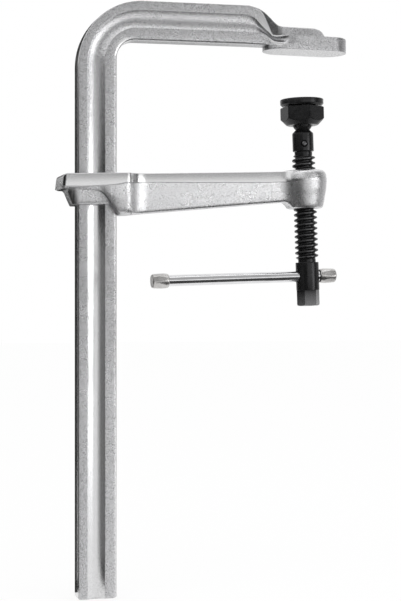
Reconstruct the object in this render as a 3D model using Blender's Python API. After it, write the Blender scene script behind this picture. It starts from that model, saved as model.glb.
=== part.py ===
"""Forged all-steel screw clamp: a grooved rail with a fixed arm and jaw, a sliding arm on the rail, and a
threaded spindle with a swivelling pressure pad above and a sliding tommy bar below.

Metres, +Z up. The origin is the centre of the fixed jaw's face. X runs along the arms, from the rail to the
jaw, and Y is across them. The sliding arm hangs on the rail with its nose a little up, as it does unloaded.
"""
import math

import bmesh
import bpy
import numpy as np
from mathutils import Matrix, Vector

# Rail and fixed arm
rail_width = 0.028
rail_thickness = 0.014
rail_reach = 0.3924
throat_depth = 0.1422
arm_depth = 0.0284
arm_underside = 0.0018
arm_rise = 0.0012
bend_outer_radius = 0.048
bend_inner_radius = 0.0135
bend_rings = 12
inner_corner = 0.0028
inner_corner_share = 0.6
outer_corner = 0.0008
groove_width = 0.0128
groove_depth = 0.0022
groove_offset = 0.0012
groove_points = 5
rail_end_chamfer = 0.0012

# Fixed jaw: an oval foot with the machined face, a slab on it, and a hump that the neck runs into
jaw_plate_length = 0.0638
jaw_plate_width = 0.029
jaw_plate_height = 0.0102
jaw_plate_edge = 0.0016
jaw_foot_height = 0.0034
jaw_slab_start = 0.012
jaw_slab_shoulder = 0.010
jaw_hump_height = 0.0162
jaw_hump_width = 0.025
jaw_neck_length = 0.059
jaw_neck_past_centre = 0.0146
end_arc_points = 12

# Sliding arm, measured from the screw's axis at the parting line
arm_drop = 0.0936
arm_cant = math.radians(2.04)
collar_end_wall = 0.015
collar_nose_wall = 0.0083
collar_width = 0.033
collar_flange_depth = 0.0062
collar_flange_rise = 0.0016
collar_flange_draft = 0.0026
collar_corner = 0.0055
arm_top_height = 0.0058
web_width = 0.0142
web_fillet_radius = 0.02
boss_fillet_radius = 0.005
web_root_depth = 0.0232
web_nose_depth = 0.0162
web_draft = 0.0014
cheek_draft = 0.005
gusset_length = 0.0265
top_draft = 0.0008
forging_edge = 0.0012
guide_end_step = 0.004
guide_nose_step = 0.007
guide_width = 0.0245
guide_depth = 0.0168
guide_taper = 0.0016
guide_corner = 0.004
boss_radius = 0.0166
boss_height_above = 0.0071
boss_depth_below = 0.0204
boss_mouth_chamfer = 0.001
rail_clearance = 0.0004

# Spindle, measured along its axis from the parting line
thread_diameter = 0.017
thread_bore_gap = 0.0004
thread_top = 0.0184
thread_bottom = 0.0575
runout_diameter = 0.013
head_diameter = 0.017
head_top_drop = 0.0607
head_length = 0.0205
head_edge = 0.0007
hex_across_flats = 0.0147
hex_length = 0.0115
hex_end_chamfer = 0.0012
hex_turn = math.radians(-6.4)
journal_diameter = 0.010
journal_length = 0.0127
fit_gap = 0.0003

# Ball head and its retaining pin
sleeve_bottom = 0.0209
sleeve_diameter = 0.0155
sleeve_length = 0.0133
neck_diameter = 0.0104
ball_diameter = 0.015
ball_height = 0.0422
pin_diameter = 0.004
pin_height = 0.0262
pin_depth = 0.0038
pin_turn = math.radians(-102.0)

# Pressure pad
cup_across_flats = 0.028
cup_below_ball = 0.003
cup_above_ball = 0.0112
cup_chamfer = 0.0048
cup_turn = math.radians(31.6)
cup_edge = 0.0004
disc_diameter = 0.0318
disc_thickness = 0.0049
disc_edge = 0.0009
pad_groove = 0.0009
spigot_diameter = 0.020
spigot_above_ball = 0.0013
pad_lean = math.radians(2.8)

# Tommy bar
bar_diameter = 0.008
bar_span = 0.1147
bar_hole_gap = 0.0003
bar_end_in_knob = 0.0105
knob_length = 0.0135
knob_diameter = 0.0108
knob_end_diameter = 0.0098
knob_edge = 0.0008

# Faceting and cuts
round_segments = 40
small_segments = 24
corner_points = 4
seat_points = 9
overrun = 0.002
pole_angle = math.radians(12.0)
smooth_angle = math.radians(35.0)


def clear_scene():
    for thing in list(bpy.data.objects):
        bpy.data.objects.remove(thing, do_unlink=True)


def finish_material(name, colour, roughness, metallic):
    material = bpy.data.materials.new(name)
    material.use_nodes = True
    shader = material.node_tree.nodes["Principled BSDF"]
    shader.inputs["Base Color"].default_value = (*colour, 1.0)
    shader.inputs["Roughness"].default_value = roughness
    shader.inputs["Metallic"].default_value = metallic
    return material


def place_empty(name, parent, location, turn=None):
    """An empty that carries the pieces of one joint, at location and turned by a matrix."""
    empty = bpy.data.objects.new(name, None)
    bpy.context.collection.objects.link(empty)
    empty.parent = parent
    empty.matrix_local = Matrix.Translation(location) @ (turn or Matrix.Identity(4))
    return empty


def mesh_piece(name, vertices, faces, material=None, parent=None):
    """One closed mesh with its faces turned outwards, smooth but for edges past the smooth angle."""
    mesh = bpy.data.meshes.new(name)
    mesh.from_pydata([tuple(v) for v in vertices], [], faces)
    shape = bmesh.new()
    shape.from_mesh(mesh)
    bmesh.ops.recalc_face_normals(shape, faces=shape.faces)
    shape.to_mesh(mesh)
    shape.free()
    mesh.shade_smooth()
    mesh.set_sharp_from_angle(angle=smooth_angle)
    if material:
        mesh.materials.append(material)
    piece = bpy.data.objects.new(name, mesh)
    bpy.context.collection.objects.link(piece)
    piece.parent = parent
    return piece


def loft(rings):
    """Vertices and faces of a skin over rings of equal count, with a flat cap on each end."""
    count = len(rings[0])
    vertices = np.concatenate([np.asarray(ring, dtype=float) for ring in rings])
    faces = []
    for row in range(len(rings) - 1):
        for col in range(count):
            after = (col + 1) % count
            low, high = row * count, (row + 1) * count
            faces.append((low + col, low + after, high + after, high + col))
    faces.append(tuple(range(count)))
    last = (len(rings) - 1) * count
    faces.append(tuple(last + col for col in range(count)))
    return vertices, faces


def circle_ring(radius, height, segments, turn=0.0):
    """Points of a level circle, or of a level hexagon when segments is six."""
    angles = turn + np.arange(segments) * 2.0 * math.pi / segments
    return np.column_stack([radius * np.cos(angles), radius * np.sin(angles), np.full(segments, height)])


def turned(name, profile, segments, material=None, parent=None, turn=0.0):
    """A solid of revolution about Z through (radius, height) points; a zero radius makes a point."""
    vertices, faces, starts = [], [], []
    for radius, height in profile:
        starts.append((len(vertices), radius > 0))
        ring = circle_ring(radius, height, segments, turn) if radius > 0 else [(0.0, 0.0, height)]
        vertices.extend(tuple(point) for point in ring)
    for (low, low_round), (high, high_round) in zip(starts, starts[1:]):
        for col in range(segments):
            after = (col + 1) % segments
            if low_round and high_round:
                faces.append((low + col, low + after, high + after, high + col))
            elif low_round:
                faces.append((low + col, low + after, high))
            else:
                faces.append((low, high + after, high + col))
    for start, is_round in (starts[0], starts[-1]):
        if is_round:
            faces.append(tuple(start + col for col in range(segments)))
    return mesh_piece(name, vertices, faces, material, parent)


def boolean(piece, tool, operation):
    """Cut a tool from a piece, or join it on; the tool itself stays a hidden guide."""
    tool.hide_render = True
    tool.display_type = "WIRE"
    step = piece.modifiers.new(tool.name, "BOOLEAN")
    step.operation = operation
    step.solver = "EXACT"
    step.object = tool


def arc(centre, radius, start, end, count):
    """Points on an arc in a plane, from the start angle to the end angle."""
    angles = np.linspace(start, end, count)
    return [(centre[0] + radius * math.cos(a), centre[1] + radius * math.sin(a)) for a in angles]


def plain_sides(half):
    """How the rail's sides run: heights as shares of the section, half widths as lengths.

    In order: the hollow's lower edge, its upper edge and the crease above it, each a share and a half width,
    then the hollow's depth and its lean, which is over 1 where the hollow is steeper at its upper edge.
    """
    middle_share = (rail_width / 2 + groove_offset) / rail_width
    half_groove_share = groove_width / 2 / rail_width
    upper_share = middle_share + half_groove_share
    crease_share = (1.0 + upper_share) / 2
    lower = (middle_share - half_groove_share, half)
    return lower, (upper_share, half), (crease_share, half), groove_depth, 1.0


def frame_section(inner, outer, inner_half, outer_half, sides):
    """A closed ring across the rail or arm, from its inner edge to its outer edge and back."""
    inner = np.array(inner)
    outer = np.array(outer)
    depth = float(np.linalg.norm(outer - inner))
    across = (outer - inner) / depth
    (low_share, low_half), (high_share, high_half), (crease_share, crease_half), hollow_depth, lean = sides
    corner_in = min(inner_corner * depth / rail_width, low_share * depth * inner_corner_share)
    corner_out = outer_corner * depth / rail_width
    diagonal = 1.0 - math.sqrt(0.5)

    side = [(0.0, inner_half - inner_corner)]
    side.append((corner_in * diagonal, inner_half - inner_corner * diagonal))
    side.append((corner_in, inner_half))
    for share in np.linspace(0.0, 1.0, groove_points + 2):
        hollow = hollow_depth * (1.0 - (2.0 * share ** lean - 1.0) ** 2)
        position = (low_share + (high_share - low_share) * share) * depth
        side.append((position, low_half + (high_half - low_half) * share - hollow))
    side.append((crease_share * depth, crease_half))
    side.append((depth - corner_out, outer_half))
    side.append((depth, outer_half - outer_corner))
    points = [(inner + across * along, -half_width) for along, half_width in side]
    points += [(inner + across * along, half_width) for along, half_width in reversed(side)]
    return np.array([(flat[0], width, flat[1]) for flat, width in points])


def jaw_outline(start=0.0, shoulder=0.0):
    """The oval of the jaw's face, or its right half and straight sides that draw in to a shoulder."""
    end_radius = jaw_plate_width / 2
    reach = jaw_plate_length / 2 - end_radius
    half_oval = arc((reach, 0.0), end_radius, -math.pi / 2, math.pi / 2, end_arc_points)
    if not shoulder:
        return half_oval + arc((-reach, 0.0), end_radius, math.pi / 2, 1.5 * math.pi, end_arc_points)
    # The shoulder's curve: share of its length, share of the slab's half width.
    shoulder_shares = ((0.0, 1.0), (0.2, 0.96), (0.45, 0.87), (0.75, 0.70), (1.0, 0.50))
    left = [(-start - along * shoulder, width * end_radius) for along, width in shoulder_shares]
    return half_oval + left + [(x, -y) for x, y in reversed(left)]


def jaw_prism(name, outline, levels):
    """A prism over a jaw outline; each level is a height and how far the outline is drawn in there."""
    rings = []
    for height, inset in levels:
        shrink = 1.0 - inset / (jaw_plate_width / 2)
        rings.append([(x - math.copysign(inset, x), y * shrink, height) for x, y in outline])
    return mesh_piece(name, *loft(rings))


def build_frame(material):
    """The rail, the bend and the fixed arm with its jaw: one forging, skinned over rings along its path."""
    half = rail_thickness / 2
    inner_face = -throat_depth
    outer_face = inner_face - rail_width
    arm_top = arm_underside + arm_depth
    plain = plain_sides(half)
    rings = []
    end_inner = (inner_face - rail_end_chamfer, -rail_reach)
    end_outer = (outer_face + rail_end_chamfer, -rail_reach)
    end_half = half - rail_end_chamfer
    rings.append(frame_section(end_inner, end_outer, end_half, end_half, plain_sides(end_half)))
    above_end = -rail_reach + rail_end_chamfer
    rings.append(frame_section((inner_face, above_end), (outer_face, above_end), half, half, plain))
    outer_centre = (outer_face + bend_outer_radius, arm_top - bend_outer_radius)
    inner_centre = (inner_face + bend_inner_radius, arm_underside - bend_inner_radius)
    outer_arc = arc(outer_centre, bend_outer_radius, math.pi, math.pi / 2, bend_rings)
    inner_arc = arc(inner_centre, bend_inner_radius, math.pi, math.pi / 2, bend_rings)
    for inner_point, outer_point in zip(inner_arc, outer_arc):
        rings.append(frame_section(inner_point, outer_point, half, half, plain))

    # The neck is where the forging's skill lies: the arm's upper flange sweeps down as a band that narrows
    # to a point, a wall swells out behind its crease into the hump, and the side hollow runs out as a scoop
    # over the lower flange, which flares into the foot. Each row: share of the neck's length, share of the
    # drop from the arm's top to the hump that is left, share of the widening at the top; then for the
    # hollow's lower edge, its upper edge and the crease, share of the height and share of the widening; then
    # the hollow's depth and lean.
    neck_shares = [
        (0.000, 0.99, 0.00, (0.308, 0.00), (0.754, 0.00), (0.93, 0.00), 1.00, 1.0),
        (0.075, 0.93, 0.00, (0.308, 0.00), (0.696, 0.00), (0.93, 0.00), 1.05, 1.2),
        (0.134, 0.85, 0.02, (0.314, 0.00), (0.590, 0.00), (0.95, 0.00), 1.12, 1.5),
        (0.190, 0.69, 0.26, (0.325, 0.00), (0.523, 0.00), (0.88, 0.00), 1.18, 1.7),
        (0.246, 0.45, 0.58, (0.281, 0.09), (0.475, 0.00), (0.73, 0.00), 1.20, 1.7),
        (0.298, 0.21, 0.82, (0.180, 0.44), (0.424, 0.04), (0.52, 0.05), 1.27, 1.7),
        (0.354, 0.03, 0.95, (0.110, 0.90), (0.463, 0.53), (0.51, 0.46), 1.45, 1.6),
        (0.414, 0.00, 1.00, (0.085, 1.20), (0.477, 0.91), (0.52, 0.82), 1.05, 1.5),
        (0.473, 0.00, 1.00, (0.085, 1.27), (0.477, 1.13), (0.52, 0.98), 0.30, 1.3),
        (0.549, 0.00, 1.00, (0.085, 1.27), (0.477, 1.16), (0.52, 1.00), 0.00, 1.0),
        (0.780, 0.01, 1.00, (0.085, 1.05), (0.477, 1.05), (0.52, 1.00), 0.00, 1.0),
    ]
    neck_start = jaw_neck_past_centre - jaw_neck_length
    hump_half = jaw_hump_width / 2
    widening = hump_half - half
    bottom = arm_underside + arm_rise
    for along, drop, wide, lower, upper, crease, depth_share, lean in neck_shares:
        place = neck_start + along * jaw_neck_length
        top = jaw_hump_height + drop * (arm_top + arm_rise - jaw_hump_height)
        low_half = half + lower[1] * widening
        sides = [(share, half + wide_share * widening) for share, wide_share in (lower, upper, crease)]
        sides += [groove_depth * depth_share, lean]
        rings.append(frame_section((place, bottom), (place, top), low_half, half + wide * widening, sides))
    # The hump's rounded end: share of the neck's length, of the hump's height and of its half width.
    hump_end_shares = ((0.87, 0.985, 0.97), (0.94, 0.90, 0.88), (1.0, 0.52, 0.66))
    side_shares = [row[0] for row in neck_shares[-1][3:6]]
    for along, height_share, width_share in hump_end_shares:
        place = neck_start + along * jaw_neck_length
        half_here = width_share * hump_half
        sides = [(share, half_here) for share in side_shares] + [0.0, 1.0]
        top = height_share * jaw_hump_height
        rings.append(frame_section((place, bottom), (place, top), half_here, half_here, sides))
    frame = mesh_piece("rail_and_fixed_arm", *loft(rings), material)

    diagonal = 1.0 - math.sqrt(0.5)
    foot_levels = [(0.0, forging_edge / 2), (forging_edge / 2, 0.0), (jaw_foot_height, 0.0)]
    boolean(frame, jaw_prism("jaw_foot", jaw_outline(), foot_levels), "UNION")
    slab_levels = [(jaw_foot_height / 2, 0.0), (jaw_plate_height - jaw_plate_edge, 0.0),
                   (jaw_plate_height - jaw_plate_edge * diagonal, jaw_plate_edge * diagonal),
                   (jaw_plate_height, jaw_plate_edge)]
    slab = jaw_prism("jaw_slab", jaw_outline(jaw_slab_start, jaw_slab_shoulder), slab_levels)
    boolean(frame, slab, "UNION")
    return frame


def collar_reaches():
    """Where the collar ends and where its nose meets the web, from the screw's axis: it follows the rail."""
    nose = throat_depth / math.cos(arm_cant) - collar_nose_wall
    end = (throat_depth + rail_width) / math.cos(arm_cant) + collar_end_wall
    return end, nose


def web_half_width(reach, collar_nose):
    """Half the forging's width at a reach from the screw's axis: collar, concave fillet, web, boss fillet."""
    collar_half = collar_width / 2
    web_half = web_width / 2
    if reach >= collar_nose:
        return collar_half
    fillet_end = collar_nose - web_fillet_run()
    if reach > fillet_end:
        offset = reach - fillet_end
        return web_half + web_fillet_radius - math.sqrt(web_fillet_radius ** 2 - offset ** 2)
    boss_start, boss_end = boss_fillet_reaches()
    offset = boss_start - max(min(reach, boss_start), boss_end)
    return web_half + boss_fillet_radius - math.sqrt(boss_fillet_radius ** 2 - offset ** 2)


def web_fillet_run():
    """How far the concave fillet between collar and web runs along the arm."""
    rise = (collar_width - web_width) / 2
    return math.sqrt(web_fillet_radius ** 2 - (web_fillet_radius - rise) ** 2)


def boss_fillet_reaches():
    """The reaches where the fillet touches the web's side and the boss's barrel."""
    side = web_width / 2 + boss_fillet_radius
    start = math.sqrt((boss_radius + boss_fillet_radius) ** 2 - side ** 2)
    return start, start * boss_radius / (boss_radius + boss_fillet_radius)


def arm_section(reach, half, top, bottom, side_draft, flange_depth, lean=0.0):
    """A ring across the sliding arm: drafted above and below the parting line, with blunt edges."""
    edge = forging_edge
    side = [
        (half - side_draft - edge, bottom),
        (half - side_draft, bottom + edge),
        (half, max(bottom + 2.0 * edge, -flange_depth + 2.0 * edge)),
        (half, 0.0),
        (half - top_draft, top - edge),
        (half - top_draft - edge, top),
    ]
    places = [-reach + lean * max(0.0, height) / top for _, height in side]
    ring = [(place, -width, height) for place, (width, height) in zip(places, side)]
    ring += [(place, width, height) for place, (width, height) in reversed(list(zip(places, side)))]
    return np.array(ring)


def build_sliding_arm(material, parent):
    """The sliding forging: a collar with a window for the rail, a guide below it, a web and a boss."""
    rings = []
    collar_half = collar_width / 2
    collar_end, collar_nose = collar_reaches()
    end_draft = collar_flange_draft
    corner_shares = (0.15, 0.4, 0.65, 1.0)
    for share in corner_shares:
        angle = share * math.pi / 2
        reach = collar_end - collar_corner * (1.0 - math.cos(angle))
        half = collar_half - collar_corner * (1.0 - math.sin(angle))
        rings.append(arm_section(reach, half, arm_top_height, -collar_flange_depth, end_draft,
                                 collar_flange_depth, forging_edge))
    gusset_start = collar_nose + gusset_length + forging_edge
    flange_there = collar_flange_depth - collar_flange_rise
    rings.append(arm_section(gusset_start, collar_half, arm_top_height, -flange_there, end_draft,
                             flange_there))
    # The gusset under the collar's nose: share of its length, share of the drop to the web's root.
    gusset_shares = ((0.21, 0.135), (0.345, 0.28), (0.44, 0.475), (0.54, 0.715), (0.64, 0.905),
                     (0.76, 1.0), (1.0, 1.0))
    for along, drop_share in gusset_shares:
        reach = gusset_start - along * gusset_length
        bottom = -flange_there - drop_share * (web_root_depth - flange_there)
        draft = end_draft + drop_share * (cheek_draft - end_draft)
        rings.append(arm_section(reach, collar_half, arm_top_height, bottom, draft, flange_there))
    span = web_fillet_run()
    boss_start, boss_end = boss_fillet_reaches()
    boss_span = boss_start - boss_end
    web_fillet_shares = (0.0, 0.06, 0.2, 0.4, 0.65, 1.0)
    boss_fillet_shares = (0.0, 0.4, 0.7, 1.0)
    stations = [(collar_nose - share * span, share) for share in web_fillet_shares]
    stations += [(boss_start - share * boss_span, 1.0) for share in boss_fillet_shares]
    stations.append((0.0, 1.0))
    for reach, blend_share in stations:
        draft = cheek_draft + blend_share * (web_draft - cheek_draft)
        depth = web_nose_depth + (web_root_depth - web_nose_depth) * reach / collar_nose
        half = web_half_width(reach, collar_nose)
        rings.append(arm_section(reach, half, arm_top_height, -depth, draft, flange_there))
    sliding_arm = mesh_piece("sliding_arm", *loft(rings), material, parent)

    # The barrel-shaped boss: share of the height above or below the parting line, share of the radius.
    boss_low_shares = ((1.0, 0.72), (0.94, 0.80), (0.60, 0.90), (0.33, 0.965), (0.0, 1.0))
    boss_high_shares = ((0.35, 0.985), (0.68, 0.94), (0.87, 0.87), (1.0, 0.74))
    profile = [(width * boss_radius, -share * boss_depth_below) for share, width in boss_low_shares]
    profile += [(width * boss_radius, share * boss_height_above) for share, width in boss_high_shares]
    boolean(sliding_arm, turned("boss", profile, round_segments, parent=parent), "UNION")

    guide_half = guide_width / 2

    def guide_ring(height, inset, end_inset):
        corner = guide_corner
        left = -collar_end + guide_end_step + end_inset
        right = -collar_nose - guide_nose_step
        low, high = -(guide_half - inset), guide_half - inset
        points = arc((right - corner, high - corner), corner, 0.0, math.pi / 2, corner_points)
        points += arc((left + corner, high - corner), corner, math.pi / 2, math.pi, corner_points)
        points += arc((left + corner, low + corner), corner, math.pi, 1.5 * math.pi, corner_points)
        points += arc((right - corner, low + corner), corner, 1.5 * math.pi, 2.0 * math.pi, corner_points)
        return [(x, y, height) for x, y in points]

    guide_levels = [
        guide_ring(-guide_depth, guide_taper + forging_edge, 2.0 * guide_taper + 2.0 * forging_edge),
        guide_ring(-guide_depth + forging_edge, guide_taper, 2.0 * guide_taper),
        guide_ring(-flange_there + forging_edge, 0.0, 0.0),
    ]
    boolean(sliding_arm, mesh_piece("collar_guide", *loft(guide_levels), parent=parent), "UNION")

    # The window stands square to the arm, so it is longer than the rail by what the rail leans inside it.
    window_height = arm_top_height + web_root_depth
    lean_run = window_height * math.tan(arm_cant)
    window_length = rail_width / math.cos(arm_cant) + lean_run + 2.0 * rail_clearance
    window_width = rail_thickness + 2.0 * rail_clearance
    rail_middle = (throat_depth + rail_width / 2) / math.cos(arm_cant)
    middle_height = (arm_top_height - web_root_depth) / 2
    window_middle = -rail_middle + middle_height * math.tan(arm_cant)
    ring = [(window_middle + sx * window_length / 2, sy * window_width / 2)
            for sx, sy in ((-1, -1), (1, -1), (1, 1), (-1, 1))]
    window = [[(x, y, height) for x, y in ring]
              for height in (-web_root_depth - overrun, arm_top_height + overrun)]
    boolean(sliding_arm, mesh_piece("rail_window", *loft(window), parent=parent), "DIFFERENCE")

    bore_radius = thread_diameter / 2 + thread_bore_gap
    mouth = bore_radius + boss_mouth_chamfer + overrun
    bore = [
        (mouth, -boss_depth_below - overrun),
        (bore_radius, -boss_depth_below + boss_mouth_chamfer),
        (bore_radius, boss_height_above - boss_mouth_chamfer),
        (mouth, boss_height_above + overrun),
    ]
    boolean(sliding_arm, turned("screw_bore", bore, round_segments, parent=parent), "DIFFERENCE")
    return sliding_arm


def crosswise(radius, length, name, parent, height, turn, middle=0.0, segments=small_segments):
    """A rod lying across the screw's axis at a height, turned about that axis."""
    rod = turned(name, [(radius, -length / 2), (radius, length / 2)], segments, parent=parent)
    lay = Matrix.Rotation(turn, 4, "Z") @ Matrix.Rotation(math.pi / 2, 4, "Y")
    out = Vector((math.cos(turn), math.sin(turn), 0.0)) * middle
    rod.matrix_local = Matrix.Translation(out + Vector((0.0, 0.0, height))) @ lay
    return rod


def build_spindle(material, parent):
    """The screw: journal with its ring groove, thread at full diameter, run-outs, head and hexagon."""
    journal = journal_diameter / 2
    runout = runout_diameter / 2
    crest = thread_diameter / 2
    head = head_diameter / 2
    groove_half = pin_diameter / 2 + fit_gap
    groove_floor = sleeve_diameter / 2 - fit_gap - pin_depth - fit_gap
    head_top = -head_top_drop
    head_bottom = head_top - head_length
    journal_top = sleeve_bottom + journal_length
    thread_chamfer = crest - runout
    profile = [
        (head - head_edge, head_bottom),
        (head, head_bottom + head_edge),
        (head, head_top - head_edge),
        (head - head_edge, head_top),
        (runout, head_top),
        (runout, -thread_bottom - thread_chamfer / 2),
        (crest, -thread_bottom),
        (crest, thread_top - thread_chamfer / 2),
        (runout, thread_top),
        (runout, sleeve_bottom - fit_gap),
        (journal, sleeve_bottom - fit_gap),
        (journal, pin_height - groove_half),
        (groove_floor, pin_height - groove_half),
        (groove_floor, pin_height + groove_half),
        (journal, pin_height + groove_half),
        (journal, journal_top - head_edge),
        (journal - head_edge, journal_top),
    ]
    spindle = turned("spindle", profile, round_segments, material, parent)
    hex_radius = hex_across_flats / math.sqrt(3.0)
    hex_bottom = head_bottom - hex_length
    hexagon = [
        (hex_radius - hex_end_chamfer, hex_bottom),
        (hex_radius, hex_bottom + hex_end_chamfer),
        (hex_radius, head_bottom + overrun),
    ]
    boolean(spindle, turned("spindle_hexagon", hexagon, 6, parent=parent, turn=hex_turn), "UNION")
    hole = crosswise(bar_diameter / 2 + bar_hole_gap, head_diameter + 2.0 * overrun, "bar_hole", parent,
                     head_top - head_length / 2, 0.0)
    boolean(spindle, hole, "DIFFERENCE")
    return spindle


def build_ball_head(material, parent):
    """The turned sleeve with its neck and ball; its blind bore runs on the spindle's journal."""
    sleeve = sleeve_diameter / 2
    neck = neck_diameter / 2
    ball = ball_diameter / 2
    sleeve_top = sleeve_bottom + sleeve_length
    neck_top = sleeve_top + sleeve - neck
    leave = -math.acos(neck / ball)
    profile = [(sleeve - head_edge, sleeve_bottom), (sleeve, sleeve_bottom + head_edge), (sleeve, sleeve_top),
               (neck, neck_top)]
    profile += arc((0.0, ball_height), ball, leave, math.pi / 2 - pole_angle, seat_points)
    profile.append((0.0, ball_height + ball * math.cos(pole_angle)))
    ball_head = turned("ball_head", profile, round_segments, material, parent)
    bore_radius = journal_diameter / 2 + fit_gap
    bore = [(bore_radius, sleeve_bottom - overrun), (bore_radius, sleeve_bottom + journal_length + fit_gap)]
    boolean(ball_head, turned("journal_bore", bore, small_segments, parent=parent), "DIFFERENCE")
    hole = crosswise(pin_diameter / 2 + fit_gap, sleeve, "pin_hole", parent, pin_height, pin_turn,
                     middle=sleeve / 2 + overrun)
    boolean(ball_head, hole, "DIFFERENCE")
    return ball_head


def build_retaining_pin(material, parent):
    """A short dowel in the sleeve's wall, just below its surface, with its tip in the journal's groove."""
    outer = sleeve_diameter / 2 - fit_gap
    pin = crosswise(pin_diameter / 2, pin_depth, "retaining_pin", parent, pin_height, pin_turn,
                    middle=outer - pin_depth / 2, segments=small_segments)
    pin.data.materials.append(material)
    return pin


def build_cup_nut(material, parent):
    """The hexagon cup: a ball seat below, a wide bore above for the disc's spigot, and a conical foot."""
    corner = cup_across_flats / math.sqrt(3.0)
    hexagon = [(corner, -cup_below_ball - overrun), (corner, cup_above_ball + overrun)]
    cup = turned("ball_cup_nut", hexagon, 6, material, parent, turn=cup_turn)
    # The cup is the part of a hexagon bar inside a turned envelope with a coned foot.
    wide = corner + overrun
    envelope = [
        (corner - cup_chamfer, -cup_below_ball),
        (wide, -cup_below_ball + cup_chamfer + overrun),
        (wide, cup_above_ball - cup_edge - overrun / 2),
        (corner - cup_edge, cup_above_ball),
    ]
    boolean(cup, turned("cup_envelope", envelope, round_segments, parent=parent), "INTERSECT")
    seat = ball_diameter / 2 + fit_gap
    bore = spigot_diameter / 2 + fit_gap
    shelf = spigot_above_ball - fit_gap
    down = -math.asin((cup_below_ball + overrun) / seat)
    up = math.asin(shelf / seat)
    cavity = arc((0.0, 0.0), seat, down, up, seat_points)
    cavity += [(bore, shelf), (bore, cup_above_ball + overrun)]
    boolean(cup, turned("cup_cavity", cavity, round_segments, parent=parent), "DIFFERENCE")
    return cup


def build_pressure_disc(material, parent):
    """The round pressure disc, with the spigot that screws into the cup and seats on the ball's top."""
    bottom = cup_above_ball + pad_groove
    top = bottom + disc_thickness
    radius = disc_diameter / 2
    spigot = spigot_diameter / 2
    profile = [
        (spigot, spigot_above_ball),
        (spigot, bottom),
        (radius - disc_edge / 2, bottom),
        (radius, bottom + disc_edge / 2),
        (radius, top - disc_edge),
        (radius - disc_edge, top),
    ]
    disc = turned("pressure_disc", profile, round_segments, material, parent)
    seat = ball_diameter / 2 + fit_gap
    start = -math.asin((overrun - spigot_above_ball) / seat)
    hollow = arc((0.0, 0.0), seat, start, math.pi / 2 - pole_angle, seat_points)
    hollow.append((0.0, seat * math.cos(pole_angle)))
    boolean(disc, turned("ball_seat", hollow, round_segments, parent=parent), "DIFFERENCE")
    return disc


def lay_along_bar(piece, middle):
    """Lay a piece turned about Z along the bar, its own origin at a place along it."""
    piece.matrix_local = Matrix.Translation((middle, 0.0, 0.0)) @ Matrix.Rotation(math.pi / 2, 4, "Y")
    return piece


def build_tommy_bar(rod_material, knob_material, parent):
    """The rod through the head, with a knob pressed on each end; the right knob rests at the head."""
    right_face = head_diameter / 2 + fit_gap
    left_face = right_face - bar_span
    rod_reach = bar_end_in_knob - fit_gap
    rod_radius = bar_diameter / 2
    rod_profile = [
        (rod_radius - head_edge, left_face - rod_reach),
        (rod_radius, left_face - rod_reach + head_edge),
        (rod_radius, right_face + rod_reach - head_edge),
        (rod_radius - head_edge, right_face + rod_reach),
    ]
    lay_along_bar(turned("tommy_bar", rod_profile, small_segments, rod_material, parent), 0.0)
    body = knob_diameter / 2
    end = knob_end_diameter / 2
    # The barrel from its inner face to its flat end: share of its length, share of its swell.
    swell_shares = ((0.10, 0.55), (0.30, 0.95), (0.55, 1.0), (0.80, 0.6))
    for name, face, outwards in (("tommy_knob_left", left_face, -1), ("tommy_knob_right", right_face, 1)):
        profile = [(end - knob_edge, 0.0), (end, knob_edge)]
        profile += [(end + swell * (body - end), share * knob_length) for share, swell in swell_shares]
        profile += [(end, knob_length - knob_edge), (end - knob_edge, knob_length)]
        knob_turn = Matrix.Rotation(outwards * math.pi / 2, 4, "Y")
        place = Matrix.Translation((face, 0.0, 0.0)) @ knob_turn
        knob = turned(name, profile, small_segments, knob_material, parent)
        knob.matrix_local = place
        bore_profile = [(rod_radius + fit_gap, -overrun), (rod_radius + fit_gap, bar_end_in_knob)]
        bore = turned(name + "_bore", bore_profile, small_segments, parent=parent)
        bore.matrix_local = place
        boolean(knob, bore, "DIFFERENCE")


def build_clamp():
    clear_scene()
    forged = finish_material("plated_forging", (0.56, 0.56, 0.57), 0.38, 0.9)
    arm_forged = finish_material("plated_forging_arm", (0.60, 0.60, 0.61), 0.36, 0.9)
    black = finish_material("black_oxide_spindle", (0.022, 0.022, 0.024), 0.36, 0.5)
    black_head = finish_material("black_oxide_ball_head", (0.020, 0.020, 0.022), 0.32, 0.5)
    pin_steel = finish_material("pin_steel", (0.12, 0.12, 0.125), 0.35, 0.8)
    cup_black = finish_material("black_oxide_cup", (0.026, 0.026, 0.028), 0.42, 0.5)
    disc_black = finish_material("black_oxide_disc", (0.024, 0.024, 0.026), 0.40, 0.5)
    polished = finish_material("polished_rod", (0.72, 0.72, 0.73), 0.12, 1.0)
    nickel = finish_material("nickel_knob", (0.55, 0.54, 0.53), 0.30, 1.0)

    build_frame(forged)
    nose_up = Matrix.Rotation(-arm_cant, 4, "Y")
    carriage = place_empty("sliding_arm_axis", None, (0.0, 0.0, -arm_drop), nose_up)
    build_sliding_arm(arm_forged, carriage)
    screw_axis = place_empty("screw_axis", carriage, (0.0, 0.0, 0.0))
    build_spindle(black, screw_axis)
    build_ball_head(black_head, screw_axis)
    build_retaining_pin(pin_steel, screw_axis)
    lean = Matrix.Rotation(-pad_lean, 4, "Y")
    pad_pivot = place_empty("pad_pivot", screw_axis, (0.0, 0.0, ball_height), lean)
    build_cup_nut(cup_black, pad_pivot)
    build_pressure_disc(disc_black, pad_pivot)
    bar_axis = place_empty("tommy_bar_axis", screw_axis, (0.0, 0.0, -head_top_drop - head_length / 2))
    build_tommy_bar(polished, nickel, bar_axis)


build_clamp()
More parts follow.
